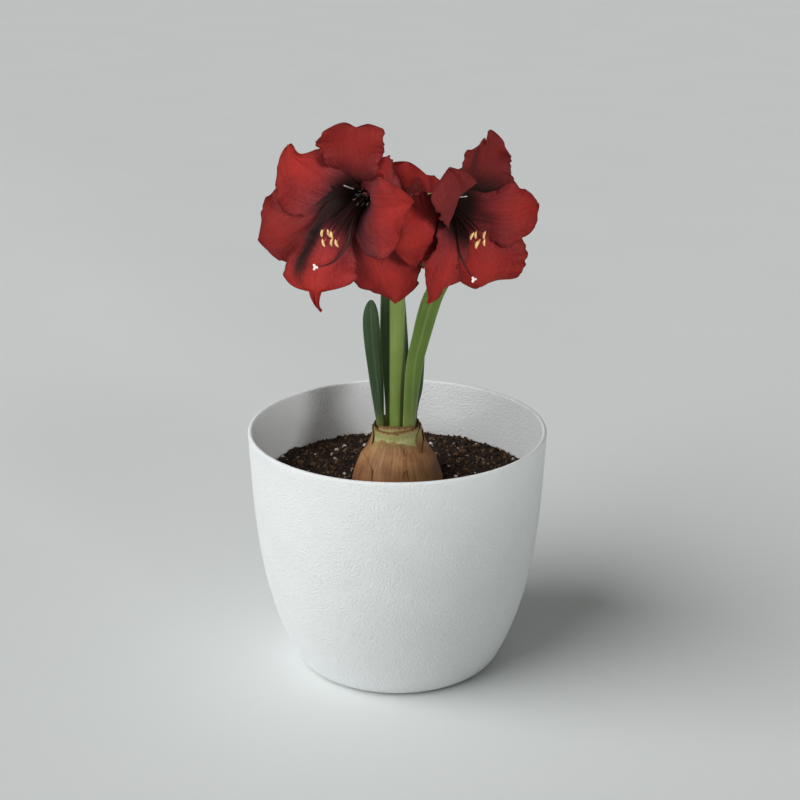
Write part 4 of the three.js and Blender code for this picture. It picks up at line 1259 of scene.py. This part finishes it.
def throat_and_shade_mark(s, t, v):
    """1 in the black throat, 0 on the red blade, and dark streaks that slant from root to tip: partly the
    throat's dark run out along veins, partly painted shade where tepals fold and where they meet.
    """
    t = t[:, None]
    reach = s["dark"] * (1 - 0.1 * v ** 2)
    throat = 1 - ease(0.45, 1.35, t / reach)
    # Each streak is partly the throat's own dark and partly painted shade where tepals fold and where they
    # meet.
    for root, tip, half, strength, end in s["streaks"]:
        place = root + (tip - root) * t
        width = half * (1.5 - 1.1 * t)
        fading = 1 - ease(end - 0.2, end + 0.1, t)
        throat = np.maximum(throat, strength * np.exp(-((v - place) / width) ** 2) * fading)
    return throat


def perianth_sheets(bloom):
    """The bloom's six tepals, with the marks that their material reads."""
    made = []
    for k, s in enumerate(bloom["tepals"]):
        grid, t, v = tepal_grid(s)
        thickness = MARGIN_THICKNESS + (RIB_THICKNESS - MARGIN_THICKNESS) * (1 - v ** 2)
        points, faces, marks = sheet(in_plant(bloom, grid), thickness)
        marks["along"] = np.tile(np.repeat(t, len(v)), 2)
        marks["throat"] = np.tile(throat_and_shade_mark(s, t, v).ravel(), 2)
        marks["which"] = np.full(len(points), k / len(bloom["tepals"]))
        # How much painted shade darkens this whole tepal.
        marks["painted_shade"] = np.full(len(points), float(s["painted_shade"]))
        made.append((points, faces, marks))
    return made


def tube_sheet(bloom):
    """The short tube that the six tepals share, seen from outside."""
    z = np.linspace(0, TUBE["depth"], TUBE["rows"])[:, None]
    angle = np.linspace(0, 2 * math.pi, TUBE["columns"])
    radius = TUBE["foot"] + (TUBE["mouth"] - TUBE["foot"]) * ease(-4, TUBE["depth"] + 4, z)
    radius = radius + TUBE["ribs"] * np.cos(6 * angle)
    grid = np.stack([radius * np.cos(angle), radius * np.sin(angle), z + 0 * angle], -1)
    points, faces, marks = sheet(in_plant(bloom, grid), TUBE["thickness"])
    marks["along"] = marks["along"] * TUBE["share"]
    marks["front"] = marks["front"] * 0
    marks["throat"] = np.zeros(len(points))
    marks["which"] = marks["painted_shade"] = np.zeros(len(points))
    return points, faces, marks


print("a rib is", RIB_THICKNESS, "mm thick and a margin", MARGIN_THICKNESS, "mm")

# %% [markdown]
# Velvet is thousands of tiny bulging cells that each catch a little light. Three noises drawn out
# along the tepal give its feathering, its veins and its fine threads. Each wash then lays one more
# tone over the red. The highlight beside the rib, the shade along the rim and the shade over whole
# tepals are painted light and shade. A little sheen and a very fine bump give it its nap.

# %% The red of the open blade
def blade_red(tree, place, along, uneven, veins, threads):
    """Wine at the throat, brighter further out, with dark veins, painted shade over whole tepals, a painted
    highlight beside the rib and painted shade along the curled-back rim.
    """
    # The rosy tones at 0.44 and 0.6 are partly the tepal's own colour and partly a painted velvet sheen.
    blade = ramp(tree, maths(tree, "ADD", along, uneven), (0.28, tone(84, 38, 43)),
                 (0.44, tone(122, 52, 57)), (0.6, tone(146, 48, 49)), (0.8, tone(158, 39, 33)),
                 (1.0, tone(136, 30, 24)))
    # Painted shade: tepals that face away from the light are darkened as a whole, as far as their mark says.
    painted_shade = mark(tree, "painted_shade")
    shaded_blade = mix(tree, painted_shade, blade, tone(84, 28, 28))
    patch = between(tree, noise(tree, place, 34.0, 3.0), 0.35, 0.7)
    mottled = wash(tree, shaded_blade, tone(112, 27, 26), patch, 0.45)
    rays = maths(tree, "MULTIPLY", between(tree, veins, 0.46, 0.6), between(tree, along, 0.9, 0.3))
    rayed = wash(tree, mottled, tone(66, 23, 26), rays, 0.45)
    net = between(tree, noise(tree, place, 420.0, 3.0, 0.6), 0.42, 0.62)
    nap = wash(tree, rayed, tone(96, 22, 22), net, 0.35)
    threaded = wash(tree, nap, tone(84, 17, 19), between(tree, threads, 0.5, 0.7), 0.45)
    from_rib = maths(tree, "ABSOLUTE", maths(tree, "SUBTRACT", mark(tree, "across"), 0.5))
    # Painted highlight: a brighter band beside the rib, about halfway out, left off where painted shade
    # darkens the tepal.
    middle = maths(tree, "MULTIPLY", between(tree, from_rib, 0.3, 0.04), between(tree, along, 0.42, 0.66))
    painted_highlight = maths(tree, "MULTIPLY", middle, between(tree, painted_shade, 0.6, 0))
    with_painted_highlight = wash(tree, threaded, tone(184, 50, 42), painted_highlight, 0.3)
    # Painted shade along the margin, where the tepal curls back.
    return wash(tree, with_painted_highlight, tone(72, 16, 18), between(tree, from_rib, 0.45, 0.5), 0.5)


# The colour printed here is the colour of the painted highlight beside the rib.
print("the brightest red is", [round(c, 3) for c in tone(184, 50, 42)[:3]], "in linear light")

# %% Velvet of the tepals
def velvet_red():
    """The blade's red outside and in, a green foot outside, and the feathered black throat inside, with dark
    streaks that are partly painted shade.
    """
    material, tree, shader = new_material("velvet_red_tepal", 0.62, Specular_IOR_Level=0.13,
                                          Sheen_Weight=0.05, Sheen_Roughness=0.5,
                                          Sheen_Tint=tone(255, 150, 140))
    along, place = mark(tree, "along"), object_place(tree)
    which = maths(tree, "MULTIPLY", mark(tree, "which"), 40.0)
    feather = noise(tree, sheet_place(tree, 19.0, 1.3, which), 1.0, 4.0, 0.65)
    veins = noise(tree, sheet_place(tree, 56.0, 1.2, which), 1.0, 3.0, 0.6)
    threads = noise(tree, sheet_place(tree, 140.0, 2.6, which), 1.0, 2.0, 0.6)
    uneven = maths(tree, "MULTIPLY", maths(tree, "SUBTRACT", feather, 0.5), 0.26)
    blade = blade_red(tree, place, along, uneven, veins, threads)
    # The throat mark and its streaks, which are partly painted shade, turn the inside nearly black.
    depth = maths(tree, "ADD", mark(tree, "throat"), maths(tree, "MULTIPLY", uneven, 3.0))
    inside = mix(tree, between(tree, depth, 0.12, 0.85), blade, tone(33, 20, 18))
    outside = wash(tree, blade, tone(104, 112, 60), between(tree, along, 0.13, 0.03), 0.8)
    raised = bumps(tree, maths(tree, "ADD", veins, maths(tree, "MULTIPLY", threads, 0.4)), 0.55, 0.9)
    glitter = noise(tree, place, 1900.0, 2.0)
    paint(tree, shader, mix(tree, mark(tree, "front"), outside, inside),
          bumps(tree, glitter, 0.06, 0.5, below=raised))
    return material


VELVET = velvet_red()
for letter, bloom in BLOOMS.items():
    perianth = sheets_object("tepals_" + letter, [*perianth_sheets(bloom), tube_sheet(bloom)], VELVET)
    settle(perianth, "perianth_" + letter, "perianth_" + letter)

# %% [markdown]
# ## Stamens and style
# Six filaments spring from the floor of the tube, bend down to the lower tepals and turn up at their
# ends, where each carries a swinging anther. The style lies below them and ends in a white stigma
# with three lobes. The filaments and the style are lines given a skin by the stalk tree.

# %% Lines of the filaments
STAMEN = {"count": 6, "ring": 2.2, "foot": 9, "filament": 0.75, "steps": 14,
          "spacing": 2.6, "level": 3.6, "stagger": 3}
BOSS = {"radius": 3.2, "below": 0.7, "above": 3, "rings": 16}


def reach_line(tip, from_x, from_y):
    """A line from the tube's floor that runs low through the throat and rises to its tip."""
    x, y, z = tip

    def part(share, height):
        return from_x + (x - from_x) * share, from_y + (y - from_y) * share, z * height

    points = [(from_x, from_y, STAMEN["foot"]), part(0.18, 0.42), part(0.66, 0.78), (x, y, z)]
    return through(points, STAMEN["steps"])


def anther_tip(bloom, k):
    """Where filament k ends, in one of two rows and a little before or behind its neighbours."""
    x, y, z = bloom["anthers"]
    level = STAMEN["level"] if k % 2 == 0 else -STAMEN["level"]
    return x + STAMEN["spacing"] * (k - 2.5), y + level, z + STAMEN["stagger"] * math.sin(k * 1.9)


def filament_lines(bloom):
    """Six filaments, and the low boss that they spring from."""
    made = []
    for k in range(STAMEN["count"]):
        angle = (k + 0.5) / STAMEN["count"] * math.pi
        level = 1 if k % 2 == 0 else -1
        from_x, from_y = -STAMEN["ring"] * math.cos(angle), STAMEN["ring"] * level * math.sin(angle)
        line = in_plant(bloom, reach_line(anther_tip(bloom, k), from_x, from_y))
        made.append((line, STAMEN["filament"] * (1.2 - 0.6 * np.linspace(0, 1, len(line)))))
    heights = np.linspace(STAMEN["foot"] - BOSS["below"], STAMEN["foot"] + BOSS["above"], BOSS["rings"])
    made.append((in_plant(bloom, straight_up(heights)), rounded(BOSS["rings"], BOSS["radius"])))
    return made


print("a bloom has", len(filament_lines(BLOOMS["a"])) - 1, "filaments")

# %% Lines of the style and the stigma
STYLE_RADIUS = 0.95
LOBE = {"count": 3, "radius": 1.05, "reach": 2.7, "turn": 2.1, "droop": 1.2, "rings": 18}


def style_line(bloom):
    """From the tube's floor through the bloom's own points to the stigma, thinner as it goes."""
    points = [(0, 0, STAMEN["foot"]), *bloom["style"], bloom["stigma"]]
    line = in_plant(bloom, through(points, STAMEN["steps"]))
    return line, STYLE_RADIUS * (1.1 - 0.3 * np.linspace(0, 1, len(line)))


def stigma_lines(bloom):
    """Three lobes that spread from the style's end and droop."""
    made = []
    for k in range(LOBE["count"]):
        angle = LOBE["turn"] * k
        out = unit(np.array([math.cos(angle), math.sin(angle), 0.5])) * LOBE["reach"]
        u = np.linspace(-0.1, 1, LOBE["rings"])[:, None]
        line = np.array(bloom["stigma"], float) + out * u - np.array([0, 0, LOBE["droop"]]) * u ** 3
        made.append((in_plant(bloom, line), rounded(LOBE["rings"], LOBE["radius"])))
    return made


print("the left style is", round(length_along(style_line(BLOOMS["a"])[0])[-1]), "mm long")

# %% [markdown]
# A fringe of short white bristles closes the tube round the filaments. Each bristle lies on the face
# of its tepal, so its line is read off the tepal's own grid, lifted a little.

# %% Lines of the white bristles
BRISTLE = {"radius": 0.32, "stoutness": 6, "lift": 0.9, "rings": 12}
FRINGE = [(-0.5, 0.1, 0.14), (0.05, 0.11, 0.15), (0.55, 0.1, 0.145)]  # across, and from and to along


def bristle_lines(bloom):
    """The bristles that every tepal has and the longer ones of its own; a longer one is stouter."""
    made = []
    for s in bloom["tepals"]:
        grid, t, v = tepal_grid(s)
        raised = grid + facing(grid) * BRISTLE["lift"]
        for across, start, end in [*FRINGE, *s["bristles"]]:
            column = raised[:, np.abs(v - across).argmin()]
            line = read_off(np.linspace(start, end, BRISTLE["rings"]), t, column)
            radius = BRISTLE["radius"] * (1 + BRISTLE["stoutness"] * (end - start))
            made.append((in_plant(bloom, line), rounded(BRISTLE["rings"], radius)))
    return made


print("the left throat has", len(bristle_lines(BLOOMS["a"])), "bristles")

# %% [markdown]
# An anther is a little loaf of pollen, over seven millimetres long, hung at its middle, with a
# furrow down each side. The tree makes one from a sphere, sets a copy at every filament's tip, and
# dusts the copies with grains of pollen, each a twenty-sided speck a quarter of a millimetre across.

# %% A tree that hangs anthers and dusts them
BELL = 2.718  # to a negative power of a square, it falls off like a bell on both sides
WAIST = -16  # how soon it falls off beside the furrow


def anther_tree():
    """Sizes are in metres, grains in a square metre."""
    tree, given = new_tree("anthers", half_length=0.0037, half_width=0.00115, furrow=0.0005,
                           grains=4500000.0, grain=0.00014, seed=4)
    ball = add(tree, "GeometryNodeMeshUVSphere", {"Segments": 20, "Rings": 14, "Radius": 1.0}).outputs[0]
    split = add(tree, "ShaderNodeSeparateXYZ", {0: add(tree, "GeometryNodeInputPosition").outputs[0]}).outputs
    falloff = maths(tree, "MULTIPLY", maths(tree, "POWER", split["Y"], 2), WAIST)
    inwards = maths(tree, "MULTIPLY", maths(tree, "POWER", BELL, falloff), maths(tree, "SIGN", split["X"]))
    pinch = maths(tree, "MULTIPLY", inwards, given["furrow"])
    x = maths(tree, "SUBTRACT", maths(tree, "MULTIPLY", split["X"], given["half_width"]), pinch)
    y = maths(tree, "MULTIPLY", split["Y"], maths(tree, "MULTIPLY", given["half_width"], 1.15))
    bow = maths(tree, "MULTIPLY", maths(tree, "POWER", split["Z"], 2),
                maths(tree, "MULTIPLY", given["half_width"], 0.6))
    z = maths(tree, "MULTIPLY", split["Z"], given["half_length"])
    shaped = add(tree, "ShaderNodeCombineXYZ", {0: maths(tree, "ADD", x, bow), 1: y, 2: z}).outputs[0]
    loaf = add(tree, "GeometryNodeSetPosition", {"Geometry": ball, "Position": shaped}).outputs[0]
    aim = add(tree, "GeometryNodeInputNamedAttribute", {"Name": "aim"}, data_type="FLOAT_VECTOR").outputs[0]
    turn = add(tree, "FunctionNodeAlignRotationToVector", {"Vector": aim}, axis="Z").outputs[0]
    hung = add(tree, "GeometryNodeInstanceOnPoints",
               {"Points": given["Geometry"], "Instance": loaf, "Rotation": turn}).outputs[0]
    loaves = add(tree, "GeometryNodeRealizeInstances", {0: hung}).outputs[0]
    spots = add(tree, "GeometryNodeDistributePointsOnFaces",
                {"Mesh": loaves, "Density": given["grains"], "Seed": given["seed"]}).outputs["Points"]
    speck = add(tree, "GeometryNodeMeshIcoSphere", {"Radius": 1.0, "Subdivisions": 1}).outputs[0]
    dust = add(tree, "GeometryNodeInstanceOnPoints",
               {"Points": spots, "Instance": speck, "Scale": given["grain"]}).outputs[0]
    both = add(tree, "GeometryNodeJoinGeometry")
    feed(tree, both.inputs[0], loaves)
    feed(tree, both.inputs[0], dust)
    finish_tree(tree, both.outputs[0], given["material"])
    return tree


ANTHERS = anther_tree()


def anther_aim(k):
    """The way in which anther k hangs: nearly upright, each tilted a little differently."""
    return unit(np.array([0.25 * math.cos(2 * k), 0.9, 0.3]))


def anthers(name, bloom, material):
    """An anther at each filament's tip, with the way it hangs kept at its point for the tree."""
    tips = in_plant(bloom, [anther_tip(bloom, k) for k in range(STAMEN["count"])])
    aims = np.array([anther_aim(k) for k in range(STAMEN["count"])]) @ bloom_frame(bloom)
    mesh = plain_mesh(name + "_tips", tips)
    aim = mesh.attributes.new("aim", "FLOAT_VECTOR", "POINT")
    aim.data.foreach_set("vector", aims.astype(np.float32).ravel())
    return grow(name, mesh, ANTHERS, material=material)


print("the anther tree has", len(ANTHERS.nodes), "nodes")

# %% Finishes of the stamens, and the pieces
def stalk_red(name, upper, tip):
    """Pale at the tube's floor, nearly black in the throat, then its own two tones."""
    material, tree, shader = new_material(name, 0.4, Specular_IOR_Level=0.45)
    along = mark(tree, "along")
    streak = noise(tree, object_place(tree), 300.0, 2.0)
    share = maths(tree, "ADD", along, maths(tree, "MULTIPLY", maths(tree, "SUBTRACT", streak, 0.5), 0.1))
    colour = ramp(tree, share, (0.03, tone(180, 172, 140)), (0.14, tone(40, 19, 18)), (0.7, tone(44, 17, 18)),
                  (0.86, upper), (0.98, tip))
    paint(tree, shader, colour)
    return material


def pollen_yellow():
    material, tree, shader = new_material("pollen_yellow", 0.8, Specular_IOR_Level=0.2)
    grain = noise(tree, object_place(tree), 1500.0, 3.0)
    colour = ramp(tree, grain, (0.3, tone(212, 142, 72)), (0.52, tone(242, 208, 140)),
                  (0.7, tone(252, 240, 206)))
    paint(tree, shader, colour, bumps(tree, grain, 0.12, 0.6))
    return material


def stigma_white():
    material, tree, shader = new_material("stigma_white", 0.45)
    grain = noise(tree, object_place(tree), 1200.0, 3.0)
    colour = ramp(tree, grain, (0.3, tone(226, 214, 206)), (0.7, tone(248, 242, 236)))
    paint(tree, shader, colour, bumps(tree, grain, 0.1, 0.6))
    return material


FILAMENT = stalk_red("filament_red", tone(108, 28, 36), tone(208, 92, 88))
STYLE = stalk_red("style_red", tone(82, 20, 24), tone(120, 32, 38))
POLLEN, STIGMA = pollen_yellow(), stigma_white()
SIDES = {"filament": 12, "lobe": 14, "bristle": 8}
for letter, bloom in BLOOMS.items():
    parts = [
        stalks("filaments_" + letter, filament_lines(bloom), SIDES["filament"], FILAMENT),
        stalks("style_" + letter, [style_line(bloom)], SIDES["filament"], STYLE),
        stalks("lobes_" + letter, stigma_lines(bloom), SIDES["lobe"], STIGMA),
        stalks("fringe_" + letter, bristle_lines(bloom), SIDES["bristle"], STIGMA),
        anthers("anthers_" + letter, bloom, POLLEN),
    ]
    settle(joined("stamens_and_style_" + letter, parts), "stamens_" + letter, "stamens_" + letter)

# %% [markdown]
# ## Floor
# One plain pale floor whose far rim sweeps up all round like a studio cove, so that every view ends
# in it. Each ring of the dish is a radius and a height. A very faint mottling keeps it from looking
# like a cut-out.

# %% The floor
FLOOR = {"flat": 22000, "sweep": 14000, "steepest": 40, "rings": 16, "sides": 96}


def pale_floor():
    material, tree, shader = new_material("pale_floor", 0.7, Specular_IOR_Level=0.2)
    soft = noise(tree, object_place(tree), 3.0, 3.0)
    paint(tree, shader, mix(tree, soft, tone(230, 234, 233), tone(236, 239, 238)))
    return material


slopes = np.radians(np.linspace(0, FLOOR["steepest"], FLOOR["rings"]))
dish = [(FLOOR["flat"] + FLOOR["sweep"] * math.sin(a), FLOOR["sweep"] * (1 - math.cos(a))) for a in slopes]
bearings = np.linspace(0, 2 * math.pi, FLOOR["sides"], endpoint=False)
floor_points = [(r * math.cos(b), r * math.sin(b), z) for r, z in dish for b in bearings]
neighbours = [(k, (k + 1) % FLOOR["sides"]) for k in range(FLOOR["sides"])]
ring_starts = range(0, len(floor_points) - FLOOR["sides"], FLOOR["sides"])
floor_faces = [(start + a, start + a + FLOOR["sides"], start + b + FLOOR["sides"], start + b)
               for start in ring_starts for a, b in neighbours]
floor_mesh = plain_mesh("floor", floor_points, [tuple(range(FLOOR["sides"])), *floor_faces])
floor_mesh.materials.append(pale_floor())
floor_mesh.shade_smooth()
floor_mesh.polygons[0].use_smooth = False  # the flat middle stays flat to the light
floor = new_object("floor", floor_mesh)
print("the floor is flat for", FLOOR["flat"] / 1000, "m all round")
